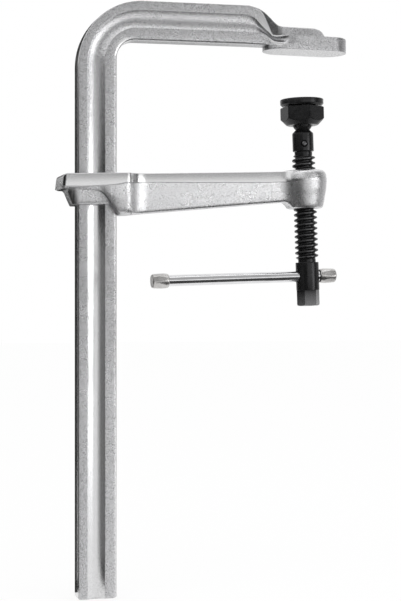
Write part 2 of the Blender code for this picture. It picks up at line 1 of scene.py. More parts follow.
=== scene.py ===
# %% [markdown]
# # An all-steel screw clamp, dressed as it looks in the shop window
#
# The real clamp is two forgings and a screw. A grooved rail is bent at its top into a fixed arm with an oval
# jaw. A second forging slides on that rail and carries a threaded spindle with a swivelling pressure pad on
# top and a sliding tommy bar below. The solids that work, move and carry load are made already and arrive as
# a frame. This script gives them the surfaces that a camera sees, one piece and one finish at a time.

# %% Load the frame
import math

import bmesh
import bpy
import numpy as np
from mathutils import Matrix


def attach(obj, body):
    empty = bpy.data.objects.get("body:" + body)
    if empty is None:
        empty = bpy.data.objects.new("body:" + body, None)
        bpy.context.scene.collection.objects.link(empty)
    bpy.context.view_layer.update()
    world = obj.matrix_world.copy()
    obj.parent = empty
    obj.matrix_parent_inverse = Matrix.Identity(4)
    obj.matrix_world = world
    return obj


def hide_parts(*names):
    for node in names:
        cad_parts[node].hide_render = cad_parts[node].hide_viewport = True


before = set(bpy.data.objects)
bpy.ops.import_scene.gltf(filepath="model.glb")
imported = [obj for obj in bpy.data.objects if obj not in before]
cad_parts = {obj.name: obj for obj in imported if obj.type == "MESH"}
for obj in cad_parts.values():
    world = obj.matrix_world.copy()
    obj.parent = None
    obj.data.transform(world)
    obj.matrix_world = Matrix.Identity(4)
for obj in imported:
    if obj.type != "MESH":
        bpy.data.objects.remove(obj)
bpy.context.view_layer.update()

print("nodes:", ", ".join(sorted(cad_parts)))

# %% [markdown]
# ## Where the camera stands
#
# A product portrait is taken with a long lens from a step away, so that parallel edges stay nearly parallel.
# Here the rail's bands show that the camera stands 15.7 degrees to the rail's outer side, level with the
# tommy bar. Solving for the distance by eye is slow. It is quicker to note where a few known corners fall in
# the picture, and to move the camera on its circle until they agree.

# %% Camera
view_turn = math.radians(-15.7)
view_distance = 1.027
view_centre = np.array([-0.0794, 0.0, -0.1824])
lens_mm = 85.24
sensor_mm = 36.0


def add_camera():
    """The camera on its circle round the view's centre, level, looking at the centre."""
    data = bpy.data.cameras.new("portrait_camera")
    data.lens = lens_mm
    data.sensor_width = sensor_mm
    data.clip_start = 0.05
    camera = bpy.data.objects.new("portrait_camera", data)
    outwards = np.array([math.sin(view_turn), -math.cos(view_turn), 0.0])
    camera.location = view_centre + view_distance * outwards
    camera.rotation_euler = (math.pi / 2, 0.0, view_turn)
    bpy.context.collection.objects.link(camera)
    bpy.context.scene.camera = camera
    return camera


camera = add_camera()
print("camera at", [round(value, 4) for value in camera.location])

# %% [markdown]
# ## Shader maths that reads like arithmetic
#
# A material is a small sum: so much noise, times a mask, plus a constant. Wiring that sum by hand takes five
# nodes and ten links. One small class that wraps a socket and knows +, - and * lets the script write the sum
# itself, and every operator adds its own Math node. Colours never go through those, because a Math node turns
# them grey: they are mixed with a Mix node instead.


# %% A socket that can be added and multiplied
class Wire:
    """One output socket of a material's tree; arithmetic on it adds Math nodes."""

    def __init__(self, tree, socket=None):
        self.tree = tree
        self.socket = socket

    def make(self, kind, inputs=None, out=0, **settings):
        """Any node: its settings first, then a value or a Wire for each named socket."""
        node = self.tree.nodes.new("ShaderNode" + kind)
        for name, value in settings.items():
            setattr(node, name, value)
        for name, value in (inputs or {}).items():
            if isinstance(value, Wire):
                self.tree.links.new(value.socket, node.inputs[name])
            else:
                node.inputs[name].default_value = value
        return Wire(self.tree, node.outputs[out] if node.outputs else None)

    def maths(self, operation, first, second):
        """One Math node on two values, each a number or a Wire."""
        return self.make("Math", {0: first, 1: second}, operation=operation)

    def __add__(self, other):
        return self.maths("ADD", self, other)

    def __radd__(self, other):
        return self.maths("ADD", other, self)

    def __sub__(self, other):
        return self.maths("SUBTRACT", self, other)

    def __rsub__(self, other):
        return self.maths("SUBTRACT", other, self)

    def __mul__(self, other):
        return self.maths("MULTIPLY", self, other)

    def __rmul__(self, other):
        return self.maths("MULTIPLY", other, self)

    def ramp(self, low, high):
        """Rise smoothly from 0 to 1 while the value goes from low to high."""
        sockets = {"Value": self, "From Min": low, "From Max": high}
        return self.make("MapRange", sockets, interpolation_type="SMOOTHSTEP")

    def colours(self, low, high):
        """Mix two colours by this value; a colour is three numbers or a Wire."""
        low, high = [c if isinstance(c, Wire) else (*c, 1.0) for c in (low, high)]
        return self.make("Mix", {0: self, 6: low, 7: high}, out=2, data_type="RGBA")


def new_material(name):
    """An empty material and the Wire that its nodes are made from."""
    material = bpy.data.materials.new(name)
    material.use_nodes = True
    material.node_tree.nodes.clear()
    return material, Wire(material.node_tree)


def close_material(start, shader):
    """Lead a shader into the material's output."""
    start.make("OutputMaterial", {"Surface": shader})


# %% [markdown]
# ## The studio
#
# Bright metal has no look of its own: it shows the room. In a white room a plated forging would be a white
# shape without edges, so a photographer stands dark and grey cards round it, and each card draws one line.
# A tall card on the left darkens the groove, a narrow flag behind the rail darkens its outer edge, a canopy
# above the front shades everything that leans up, and small tables below draw the thin dark lines at the
# lower edges. The cards hide from the camera and cast no shadow, so the clamp can be looked at from any side.
# One broad soft light stands low in front and to the right, and a weak one hangs above. The floor and the
# world are plain white, and the floor mixes its white with a matt surface that still takes a soft shadow.

# %% Floor, world and lights
floor_level = -0.3926
floor_half = 6.0
floor_tone = 0.95
shadow_share = 0.12
fill_level = 0.95
card_steps = 16


def background_rays(start):
    """1 for the rays that look at the background: from the camera, from a reflection, through glass."""
    seen = start.make("LightPath", out="Is Camera Ray")
    for name in ("Is Glossy Ray", "Is Transmission Ray"):
        seen = seen + start.make("LightPath", out=name)
    return seen.ramp(0.4, 0.6)


def white_world():
    """White to whatever looks at it, and a softer grey as the fill light on matt surfaces."""
    world = bpy.data.worlds.new("white_studio")
    world.use_nodes = True
    world.node_tree.nodes.clear()
    start = Wire(world.node_tree)
    level = background_rays(start) * (1.0 - fill_level) + fill_level
    light = start.make("Background", {"Color": (1.0, 1.0, 1.0, 1.0), "Strength": level})
    start.make("OutputWorld", {"Surface": light})
    bpy.context.scene.world = world


def floor_material():
    """White that mixes its own glow, for looking rays, with a matt surface that takes the shadow."""
    material, start = new_material("floor_white")
    matt = start.make("BsdfDiffuse", {"Color": (floor_tone, floor_tone, floor_tone, 1.0)})
    glow = start.make("Emission", {"Color": (1.0, 1.0, 1.0, 1.0), "Strength": 1.0})
    share = background_rays(start) * (1.0 - shadow_share)
    close_material(start, start.make("MixShader", {0: share, 1: matt, 2: glow}))
    return material


def add_floor():
    """One flat square under the clamp; it belongs to the stage."""
    corners = np.array([[-1, -1], [1, -1], [1, 1], [-1, 1]]) * floor_half
    mesh = bpy.data.meshes.new("studio_floor")
    mesh.from_pydata([(x, y, floor_level) for x, y in corners], [], [(0, 1, 2, 3)])
    mesh.materials.append(floor_material())
    floor = bpy.data.objects.new("studio_floor", mesh)
    bpy.context.collection.objects.link(floor)


def add_light(name, turn, tilt, distance, width, height, watts):
    """A soft rectangular light on a circle round the clamp, turned and tilted to look at its middle."""
    data = bpy.data.lights.new(name, "AREA")
    data.shape = "RECTANGLE"
    data.size = width
    data.size_y = height
    data.energy = watts
    light = bpy.data.objects.new(name, data)
    turn, tilt = math.radians(turn), math.radians(tilt)
    flat = math.cos(tilt)
    outwards = np.array([math.sin(turn) * flat, -math.cos(turn) * flat, math.sin(tilt)])
    light.location = view_centre + distance * outwards
    light.rotation_euler = (math.pi / 2 - tilt, 0.0, turn)
    light.visible_camera = False
    bpy.context.collection.objects.link(light)


def add_card(name, tone, turns, distances, heights, middle):
    """A card of one even tone that only reflections see: part of a drum, a cone or a flat ring.

    It stands round a middle between two turns, in degrees. Its lower and upper edge have a distance and a
    height each, so equal distances make a drum and equal heights make a ring that lies flat.
    """
    turns = np.radians(np.linspace(*turns, card_steps + 1))
    around = np.column_stack([np.sin(turns), -np.cos(turns)])
    points = [(x, y, z) for d, z in zip(distances, heights) for x, y in around * d + middle[:2]]
    mesh = bpy.data.meshes.new(name)
    above = card_steps + 1
    mesh.from_pydata(points, [], [(i, i + 1, i + above + 1, i + above) for i in range(card_steps)])
    material, start = new_material(name)
    close_material(start, start.make("Emission", {"Color": (tone, tone, tone, 1.0)}))
    mesh.materials.append(material)
    card = bpy.data.objects.new(name, mesh)
    card.visible_camera = False
    card.visible_diffuse = False
    card.visible_shadow = False
    bpy.context.collection.objects.link(card)


bpy.context.scene.view_settings.view_transform = "Standard"
white_world()
add_floor()
add_light("key_light", turn=54.0, tilt=2.2, distance=1.6, width=1.2, height=0.55, watts=4.8)
add_light("top_light", turn=10.0, tilt=76.0, distance=1.5, width=1.2, height=0.8, watts=2.0)

# %% Cards
rail_edge, screw, behind_rod = np.array([-0.1702, 0.0]), np.zeros(2), np.array([-0.05, 0.6])
# Each card: name, tone, turns, the distances and the heights of its lower and its upper edge, and its middle.
cards = (
    ("edge_flag", 0.02, (-230.0, -160.0), (0.045, 0.045), (-0.39, 0.06), rail_edge),
    ("corner_card", 0.02, (-125.0, -35.0), (0.08, 0.08), (-0.1, -0.05), rail_edge),
    ("edge_table", 0.02, (-230.0, -156.0), (0.012, 0.06), (-0.3905, -0.3905), rail_edge),
    ("back_card", 0.62, (-200.0, -150.0), (0.8, 0.8), (-0.39, 0.3), view_centre),
    ("left_card", 0.04, (-150.0, -12.0), (0.7, 0.7), (-0.39, 0.09), view_centre),
    ("left_table", 0.04, (-150.0, -12.0), (0.015, 0.7), (-0.389, -0.389), rail_edge),
    ("groove_card_low", 0.20, (-57.0, -12.0), (0.1, 0.1), (-0.389, -0.13), rail_edge),
    ("groove_card_high", 0.20, (-57.0, -12.0), (0.1, 0.1), (-0.08, 0.02), rail_edge),
    ("ramp_card_low", 0.55, (-12.0, 3.0), (0.1, 0.1), (-0.389, -0.13), rail_edge),
    ("ramp_card_high", 0.55, (-12.0, 3.0), (0.1, 0.1), (-0.08, -0.02), rail_edge),
    ("canopy", 0.46, (-12.0, 42.0), (1.5, 0.55), (0.14, 1.3), view_centre),
    ("table_card", 0.05, (0.0, 75.0), (0.09, 0.32), (-0.25, -0.25), view_centre),
    ("collar_table", 0.05, (0.0, 30.0), (0.045, 0.13), (-0.16, -0.16), rail_edge),
    ("rod_card", 0.06, (-5.0, 9.0), (0.612, 0.75), (-0.187, -0.187), behind_rod),
    ("gap_card", 0.0, (50.0, 78.0), (0.15, 0.15), (-0.28, 0.08), screw),
    ("right_card", 0.6, (80.0, 125.0), (0.5, 0.5), (-0.39, 0.3), screw),
)
for card in cards:
    add_card(*card)
print("studio:", len(bpy.data.lights), "lights and", len(cards), "cards")

# %% [markdown]
# ## Finishes
#
# Five finishes cover the clamp. The forgings are blasted and bright-plated: a fine sandy skin that sparkles,
# darker on the rolled bar, with smooth bands where the flash was trimmed or a face was ground; on the fixed
# forging the same marks also paint highlights inside the bend, on the neck's band and on its ridge. The
# screw, its ball head and the pad are black oxide, a dark satin skin that is rubbed bright on the hexagon.
# The rod is polished, the knobs are matt nickel, and the pin is plain dark steel. The sand is a bump in the
# shader, because each grain is smaller than a pixel, while everything larger is real geometry.

# %% Plated forging
sand_scale = 2100.0
grain_scale = 4200.0
forged_cloud_scale = 90.0
sand_depth = 0.00016
sand_share = 0.75
smoothing = 0.88
pit_start, pit_full, pit_share = 0.50, 0.38, 0.8
plated_roughness, cloud_roughness, sand_roughness = 0.14, 0.10, 0.09
sandy_colour, sandy_pit = (0.80, 0.80, 0.81), (0.22, 0.22, 0.225)
dull_colour, dull_pit = (0.60, 0.60, 0.61), (0.10, 0.10, 0.105)
smooth_and_highlight_colour = (0.76, 0.76, 0.765)


def forged_finish():
    """Bright plating over a blasted skin.

    The attribute smooth is 1 on trimmed and ground bands, and dull is 1 where the rolled bar's darker skin
    shows. On the fixed forging both marks also paint highlights into the colour: smooth inside the bend and
    on the neck's band, and a low dull on the neck's ridge.
    """
    material, start = new_material("plated_forging")
    place = start.make("TexCoord", out="Object")
    # smooth and dull also carry painted highlights on the fixed forging's bend, band and ridge
    smooth = start.make("Attribute", out="Fac", attribute_name="smooth")
    dull = start.make("Attribute", out="Fac", attribute_name="dull")
    sand = start.make("TexNoise", {"Vector": place, "Scale": sand_scale, "Detail": 3.0, "Roughness": 0.6})
    grain = start.make("TexNoise", {"Vector": place, "Scale": grain_scale, "Detail": 1.0})
    cloud = start.make("TexNoise", {"Vector": place, "Scale": forged_cloud_scale, "Detail": 4.0})
    rough_skin = 1.0 - smooth * smoothing
    height = (sand * sand_share + grain * (1.0 - sand_share)) * rough_skin
    normal = start.make("Bump", {"Height": height, "Distance": sand_depth, "Strength": 1.0})
    pits = sand.ramp(pit_start, pit_full) * rough_skin * pit_share
    # the smooth colour is the ground bands' own colour, and a painted highlight where it lightens the dull
    # rail
    skin = smooth.colours(dull.colours(sandy_colour, dull_colour), smooth_and_highlight_colour)
    colour = pits.colours(skin, dull.colours(sandy_pit, dull_pit))
    roughness = plated_roughness + cloud * cloud_roughness + rough_skin * sand_roughness
    shader = start.make("BsdfPrincipled", {"Base Color": colour, "Metallic": 1.0,
                                           "Roughness": roughness, "Normal": normal})
    close_material(start, shader)
    return material


# %% Black oxide, pin, rod and knobs
dark_oxide, grey_oxide, worn_steel = (0.020, 0.020, 0.0205), (0.055, 0.055, 0.057), (0.30, 0.30, 0.305)
mottle_scale, oxide_grain_scale, oxide_grain_depth = 420.0, 2600.0, 0.00005
mottle_share, oxide_metal, oxide_gloss = 0.8, 0.8, 0.3
oxide_roughness, mottle_roughness, worn_roughness = 0.18, 0.16, 0.06


def black_finish():
    """A dark satin skin over steel; the attribute worn is high on the hexagon, low on the thread's crests."""
    material, start = new_material("black_oxide")
    place = start.make("TexCoord", out="Object")
    worn = start.make("Attribute", out="Fac", attribute_name="worn")
    mottle = start.make("TexNoise", {"Vector": place, "Scale": mottle_scale, "Detail": 4.0})
    grain = start.make("TexNoise", {"Vector": place, "Scale": oxide_grain_scale, "Detail": 2.0})
    colour = worn.colours((mottle * mottle_share).colours(dark_oxide, grey_oxide), worn_steel)
    roughness = oxide_roughness + mottle * mottle_roughness + worn * worn_roughness
    normal = start.make("Bump", {"Height": grain, "Distance": oxide_grain_depth, "Strength": 0.5})
    shader = start.make("BsdfPrincipled", {"Base Color": colour, "Metallic": oxide_metal,
                                           "Specular IOR Level": oxide_gloss, "Roughness": roughness,
                                           "Normal": normal})
    close_material(start, shader)
    return material


drawn_cloud_scale, line_share, line_low, line_high, line_strength = 130.0, 0.5, 0.35, 0.65, 0.6


def drawn_finish(name, bright, dull, rough_low, rough_span, line_scale, depth):
    """Bare metal with fine lines round or along it: noise that is stretched along X."""
    material, start = new_material(name)
    place = start.make("TexCoord", out="Object")
    stretched = start.make("Mapping", {"Vector": place, "Scale": line_scale})
    lines = start.make("TexNoise", {"Vector": stretched, "Scale": 1.0, "Detail": 3.0})
    cloud = start.make("TexNoise", {"Vector": place, "Scale": drawn_cloud_scale, "Detail": 3.0})
    streaks = (lines * line_share + cloud * (1.0 - line_share)).ramp(line_low, line_high)
    colour = streaks.colours(dull, bright)
    normal = start.make("Bump", {"Height": lines, "Distance": depth, "Strength": line_strength})
    shader = start.make("BsdfPrincipled", {"Base Color": colour, "Metallic": 1.0,
                                           "Roughness": rough_low + cloud * rough_span, "Normal": normal})
    close_material(start, shader)
    return material


forged = forged_finish()
black = black_finish()
# Name, bright and dull colour, lowest roughness and its span, scale and depth of the lines.
drawn_recipes = (
    ("pin_steel", (0.16, 0.16, 0.165), (0.09, 0.09, 0.095), 0.22, 0.2, (900.0, 900.0, 900.0), 0.00003),
    ("polished_rod", (0.82, 0.82, 0.83), (0.70, 0.70, 0.71), 0.07, 0.12, (60.0, 1800.0, 1800.0), 0.000006),
    ("nickel_knob", (0.66, 0.65, 0.64), (0.50, 0.49, 0.48), 0.22, 0.18, (2200.0, 500.0, 500.0), 0.00004),
)
pin_steel, polished, nickel = [drawn_finish(*recipe) for recipe in drawn_recipes]
print("finishes:", ", ".join(finish.name for finish in (forged, black, pin_steel, polished, nickel)))

# %% [markdown]
# ## Surfaces from whole arrays
#
# Every new piece is a grid of points: one index runs along the piece and the other runs round it. Numpy works
# out the whole grid at once, and only then does Blender see it, as one mesh. Helpers do this. Some draw
# straight steps or smooth curves through the few rows of a table, another rounds the corners of many cross
# sections at once, one makes the faces, and the last one makes the object and closes it.

# %% Steps, smooth tables and rounded sections
MM = 0.001
longest_reach_share = 0.45
no_length, speck = 1e-9, 1e-6


def rise(value, start, end):
    """0 up to start, 1 from end on, and a straight line between; end may also lie below start."""
    return np.clip((value - start) / (end - start), 0.0, 1.0)


def steps(start, *stretches):
    """Places from start on: each stretch says where it ends and how many even steps lead there."""
    places = [start]
    for end, count in stretches:
        places.extend(np.linspace(places[-1], end, count + 1)[1:])
    return np.array(places)


def smooth_rows(table, at):
    """Cubic curves through a table's rows, read at new places; a curve never swings past its rows.

    The table's first column holds the places, and each further column gives one array of values. The slope
    at a row is the harmonic mean of the two slants beside it, and zero where they change sign.
    """
    places, rows = table[:, 0], table[:, 1:]
    gaps = np.diff(places)[:, None]
    slants = np.diff(rows, axis=0) / gaps
    before, after = 2 * gaps[1:] + gaps[:-1], gaps[1:] + 2 * gaps[:-1]
    same = slants[:-1] * slants[1:] > 0
    safe = np.where(same, slants[:-1], 1.0), np.where(same, slants[1:], 1.0)
    slopes = np.zeros_like(rows)
    slopes[1:-1] = np.where(same, (before + after) / (before / safe[0] + after / safe[1]), 0.0)
    slopes[0], slopes[-1] = slants[0], slants[-1]
    at = np.clip(np.atleast_1d(at), places[0], places[-1])
    row = np.clip(np.searchsorted(places, at) - 1, 0, len(gaps) - 1)
    gap = gaps[row]
    t = (at - places[row])[:, None] / gap
    level = (1 + 2 * t) * (1 - t) ** 2 * rows[row] + t ** 2 * (3 - 2 * t) * rows[row + 1]
    lean = t * (1 - t) ** 2 * slopes[row] - t ** 2 * (1 - t) * slopes[row + 1]
    return (level + lean * gap).T


def rounded(lines, samples=6):
    """Many cross sections at once: corners become short arcs, smooth points stay as they are.

    lines is a list of (along, across, reach). Each of the three is one number or an array with one value for
    every section. A corner is a parabola: it leaves one edge at reach before the corner and joins the next
    at reach after it, but takes less than half of an edge. A reach of None keeps the point. The result has
    the shape (sections, points, 2).
    """
    count = max(np.size(value) for line in lines for value in line[:2])
    spots = [np.column_stack([np.broadcast_to(v, count) for v in line[:2]]) for line in lines]
    t = np.linspace(0.0, 1.0, samples)[None, :, None]
    pieces = []
    for index, spot in enumerate(spots):
        reach = lines[index][2]
        if reach is None or index in (0, len(spots) - 1):
            pieces.append(spot[:, None, :])
            continue
        arms = []
        for other in (spots[index - 1], spots[index + 1]):
            arm = other - spot
            length = np.maximum(np.linalg.norm(arm, axis=1), no_length)
            arms.append(arm * (np.minimum(reach, longest_reach_share * length) / length)[:, None])
        start, end = [(spot + arm)[:, None, :] for arm in arms]
        middle = spot[:, None, :]
        pieces.append((1 - t) ** 2 * start + 2 * t * (1 - t) * middle + t ** 2 * end)
    return np.concatenate(pieces, axis=1)


def two_sided(half_section):
    """A closed section from its right half: the same points again, mirrored, back to the first."""
    left = half_section[:, -2::-1] * np.array([1.0, -1.0])
    return np.concatenate([half_section, left], axis=1)


def grid_faces(rows, columns, first=0):
    """Quads between neighbouring rows and columns of a grid whose points are numbered from first."""
    index = first + np.arange(rows * columns).reshape(rows, columns)
    corners = index[:-1, :-1], index[:-1, 1:], index[1:, 1:], index[1:, :-1]
    return np.stack(corners, axis=-1).reshape(-1, 4)


# %% From a grid to a finished object
merge_gap = 0.004 * MM
sharp_angle = math.radians(32.0)


def to_metres(points):
    """Carry points from millimetres to metres, where they are."""
    return points * MM


def make_piece(name, grids, finish, place=to_metres):
    """One closed object from grids in millimetres; place carries their points to the frame, in metres.

    Points that fall together are merged, so a last column equal to the first closes a grid round its axis,
    and a row drawn in to one point closes its end.
    """
    points = np.concatenate([grid.reshape(-1, 3) for grid in grids])
    starts = np.cumsum([0] + [grid.shape[0] * grid.shape[1] for grid in grids])
    faces = np.concatenate([grid_faces(*grid.shape[:2], first) for grid, first in zip(grids, starts)])
    mesh = bpy.data.meshes.new(name)
    mesh.from_pydata(place(points), [], faces)
    close_mesh(mesh)
    mesh.materials.append(finish)
    piece = bpy.data.objects.new(name, mesh)
    bpy.context.collection.objects.link(piece)
    return piece


def close_mesh(mesh):
    """Merge what falls together, drop what has no size, turn the faces out and shade them."""
    shape = bmesh.new()
    shape.from_mesh(mesh)
    bmesh.ops.remove_doubles(shape, verts=shape.verts, dist=merge_gap)
    bmesh.ops.dissolve_degenerate(shape, edges=shape.edges, dist=merge_gap)
    bmesh.ops.recalc_face_normals(shape, faces=shape.faces)
    shape.to_mesh(mesh)
    shape.free()
    mesh.shade_smooth()
    mesh.set_sharp_from_angle(angle=sharp_angle)


def carve(piece, tool, operation="DIFFERENCE"):
    """Cut a tool from a piece, or join it on, and keep only the result."""
    step = piece.modifiers.new(tool.name, "BOOLEAN")
    step.operation = operation
    step.solver = "EXACT"
    step.object = tool
    shape = piece.evaluated_get(bpy.context.evaluated_depsgraph_get())
    old = piece.data
    piece.data = bpy.data.meshes.new_from_object(shape)
    piece.modifiers.clear()
    piece.data.name = old.name
    bpy.data.meshes.remove(old)
    bpy.data.objects.remove(tool)
    close_mesh(piece.data)


def mark_points(piece, name, values):
    """Give every point of a finished piece a value between 0 and 1, worked out from its place in mm."""
    spots = np.empty(len(piece.data.vertices) * 3, np.float32)
    piece.data.vertices.foreach_get("co", spots)
    layer = piece.data.attributes.new(name, "FLOAT", "POINT")
    layer.data.foreach_set("value", values(spots.reshape(-1, 3) / MM).astype(np.float32))


def report(piece):
    """Print how fine a piece came out and whether its mesh is closed."""
    shape = bmesh.new()
    shape.from_mesh(piece.data)
    open_edges = sum(not edge.is_manifold for edge in shape.edges)
    volume = shape.calc_volume(signed=True) / MM ** 3
    triangles = sum(len(face.verts) - 2 for face in shape.faces)
    shape.free()
    print(f"{piece.name}: {triangles} triangles, {open_edges} open edges, {volume:.0f} cubic mm")


# %% [markdown]
# ## The rail and the fixed arm
#
# One bar of grooved steel makes the rail, the bend and the arm, and its end is forged into the jaw. It is
# drawn here as a section carried along that path. The section is a short list of corners: the inner edge,
# the hollow's lower and upper edge, the crease and the outer edge. Along the rail they stay put. In the neck
# they part ways: the upper flange sweeps down as a narrowing band, the wall behind it swells into the hump,
# and the hollow runs out over a ridge that flares into the oval foot. Moving a few named lines keeps every
# edge crisp, which no general blend between two shapes would do.

# %% Sizes of the rail, arm and jaw
rail_width = 28.0
rail_half = 7.0
rail_reach = 392.4
throat = 142.2
arm_depth = 28.4
arm_underside = 1.8
arm_rise = 1.2
bend_outer = 48.0
bend_inner = 13.5
inner_corner = 2.8
outer_corner = 0.8
hollow_middle = 15.2
hollow_width = 12.8
hollow_depth = 2.2
hollow_samples = 15
end_chamfer = 1.2
foot_half_length = 31.7
foot_half_width = 14.5
foot_straight = foot_half_length - foot_half_width
foot_height = 3.3
slab_start = -12.0
slab_height = 10.2
slab_edge = 1.5
tip_fall = 0.6
tip_fall_start, tip_fall_end = 24.0, 31.9
hump_top_share, hump_foot_share = 0.86, 0.89
neck_edge = 0.3
neck_edge_end = -24.0
# How far each corner of the sections reaches, and the hair's breadths that keep two corners apart.
flank_share, flank_corner = 0.7, 0.2
hollow_corner, ridge_corner = 0.35, 0.45
crease_corner, top_corner = 0.6, 1.4
foot_corner, seam_corner, shelf_corner, belly_corner = 0.4, 0.1, 0.35, 0.5
shelf_gap, tuck = 0.02, 0.05

# %% Lines of the jaw's neck, hump and foot
# Along the arm, in millimetres from the jaw's middle: height and half width of the top edge, of the crease
# behind the flange band, of the hollow's upper edge and of its lower edge; then the hollow's depth and lean.
neck_lines = np.array([
    [-44.4, 31.25, 7.0, 29.4, 7.0, 24.3, 7.0, 11.7, 7.0, 2.2, 1.0],
    [-40.0, 30.3, 7.0, 28.4, 7.0, 22.0, 7.0, 11.4, 7.0, 2.3, 1.2],
    [-36.5, 29.1, 7.1, 27.6, 7.0, 18.4, 7.0, 11.2, 7.0, 2.4, 1.5],
    [-33.2, 26.7, 8.3, 24.0, 7.0, 15.4, 7.0, 10.8, 7.0, 2.5, 1.6],
    [-29.9, 22.9, 10.3, 17.5, 7.0, 12.6, 7.0, 8.6, 7.5, 2.7, 1.7],
    [-26.8, 19.3, 11.5, 11.4, 7.2, 9.8, 7.2, 5.6, 9.6, 2.8, 1.7],
    [-23.5, 16.9, 12.2, 9.9, 9.4, 9.3, 9.9, 4.3, 12.2, 3.0, 1.6],
    [-20.0, 16.2, 12.5, 10.0, 11.4, 9.4, 12.3, 3.9, 13.6, 2.2, 1.5],
    [-16.5, 16.2, 12.5, 10.1, 12.3, 9.9, 13.8, 3.7, 14.2, 0.5, 1.3],
    [-12.0, 16.2, 12.4, 10.2, 12.6, 10.2, 14.5, 3.7, 14.5, 0.0, 1.0],
])
# The hump on the slab: place along the arm, height, and half width of its top edge and of its foot.
hump_lines = np.array([
    [-12.0, 16.2, 12.4, 12.6], [1.6, 16.2, 12.2, 12.8], [4.0, 16.1, 12.0, 12.7], [6.9, 15.6, 11.3, 12.4],
    [9.0, 14.9, 10.5, 11.9], [11.0, 13.7, 9.3, 11.0], [12.5, 12.3, 8.0, 10.0], [13.6, 11.0, 6.6, 8.6],
    [14.6, 10.2, 5.0, 6.5], [31.9, 10.2, 0.0, 0.0],
])
neck_start, neck_top = neck_lines[0, :2]


def foot_half(x):
    """Half width of the oval foot: straight sides, and a half circle round each end."""
    over = np.clip(np.abs(x) - foot_straight, 0.0, foot_half_length - foot_straight)
    return np.sqrt(np.maximum(foot_half_width ** 2 - over ** 2, 0.0))


def hollow_lines(low, low_half, high, high_half, depth, lean):
    """The side hollow between its two edges: a parabola, steeper at the upper edge where it leans."""
    lines = []
    for share in np.linspace(0.0, 1.0, hollow_samples + 2)[1:-1]:
        dip = depth * (1.0 - (2.0 * share ** lean - 1.0) ** 2)
        lines.append((low + (high - low) * share, low_half + (high_half - low_half) * share - dip, None))
    return lines


# %% The section carried along the path
def bar_section(depth, half, hollow_share=1.0):
    """The plain bar, from its inner edge to its outer edge, for one or many depths and half widths."""
    depth = np.atleast_1d(depth)
    scale = depth / rail_width
    low, high = (hollow_middle - hollow_width / 2) * scale, (hollow_middle + hollow_width / 2) * scale
    dip = hollow_depth * hollow_share
    # The first corner stands three times, so that this section has as many points as the jaw's.
    lines = [(0.0, 0.0, None), (0.0, 0.0, 0.0), (0.0, 0.0, 0.0), (0.0, half, inner_corner),
             (low * flank_share, half, flank_corner), (low, half, hollow_corner)]
    lines += hollow_lines(low, half, high, half, dip, 1.0)
    lines += [(high, half, neck_edge), ((high + depth) / 2, half, crease_corner),
              (depth, half, outer_corner), (depth, 0.0, None)]
    return rounded(lines)


def jaw_section(x):
    """The neck, hump and foot at many places along the arm, from the underside to the top."""
    neck = smooth_rows(neck_lines, x)
    top, top_half, crease, crease_half, high, high_half, low, low_half, dip, lean = neck
    hump_top, hump_half, hump_foot = smooth_rows(hump_lines, x)
    on_slab = x > slab_start
    rim = foot_half(x)
    fall = rise(x, tip_fall_start, tip_fall_end) ** 2 * tip_fall
    top = np.where(on_slab, np.maximum(hump_top, slab_height) - fall, top)
    top_half = np.where(on_slab, np.minimum(hump_half, rim * hump_top_share), top_half)
    crease_half = np.where(on_slab, np.minimum(hump_foot, rim * hump_foot_share), crease_half)
    crease, high = [np.where(on_slab, slab_height - fall, level) for level in (crease, high)]
    high_half, low_half = [np.where(on_slab, rim, half) for half in (high_half, low_half)]
    underside = arm_underside + arm_rise
    has_foot = x > -foot_half_length
    foot = np.where(has_foot, rim, 0.0)
    base = np.where(has_foot, 0.0, underside)
    shelf = np.where(has_foot, foot_height, underside)
    belly = np.where(has_foot, shelf + shelf_gap, underside)
    belly_half = np.where(has_foot, np.minimum(low_half - tuck, np.maximum(rim, rail_half)), low_half)
    belly_half = np.where(on_slab, rim, belly_half)
    lines = [(base, 0.0, None), (base, foot, foot_corner),
             (shelf, foot, np.where(on_slab, seam_corner, shelf_corner)),
             (belly, belly_half, np.where(has_foot, belly_corner, inner_corner)),
             ((belly + low) / 2, (belly_half + low_half) / 2, flank_corner), (low, low_half, ridge_corner)]
    lines += hollow_lines(low, low_half, high, high_half, dip, lean)
    edge = neck_edge + (slab_edge - neck_edge) * rise(x, neck_edge_end, slab_start)
    lines += [(high, high_half, edge), (crease, crease_half, crease_corner), (top, top_half, top_corner),
              (top, 0.0, None)]
    return rounded(lines)


def cosine_steps(start, end, count):
    """Places that crowd together towards both ends, as even steps round half a circle do from the side."""
    return start + (end - start) * (1.0 - np.cos(np.linspace(0.0, math.pi, count))) / 2


# %% Rings of the frame forging
end_hollow_share = 0.8
before_foot, hump_turn = -32.4, 6.0
just_before = 0.001
end_ring_gap, low_ring_gap, bend_ring_gap = 0.4, 5.0, 2.0
rail_rings, bend_rings, arm_rings = 40, 40, 20


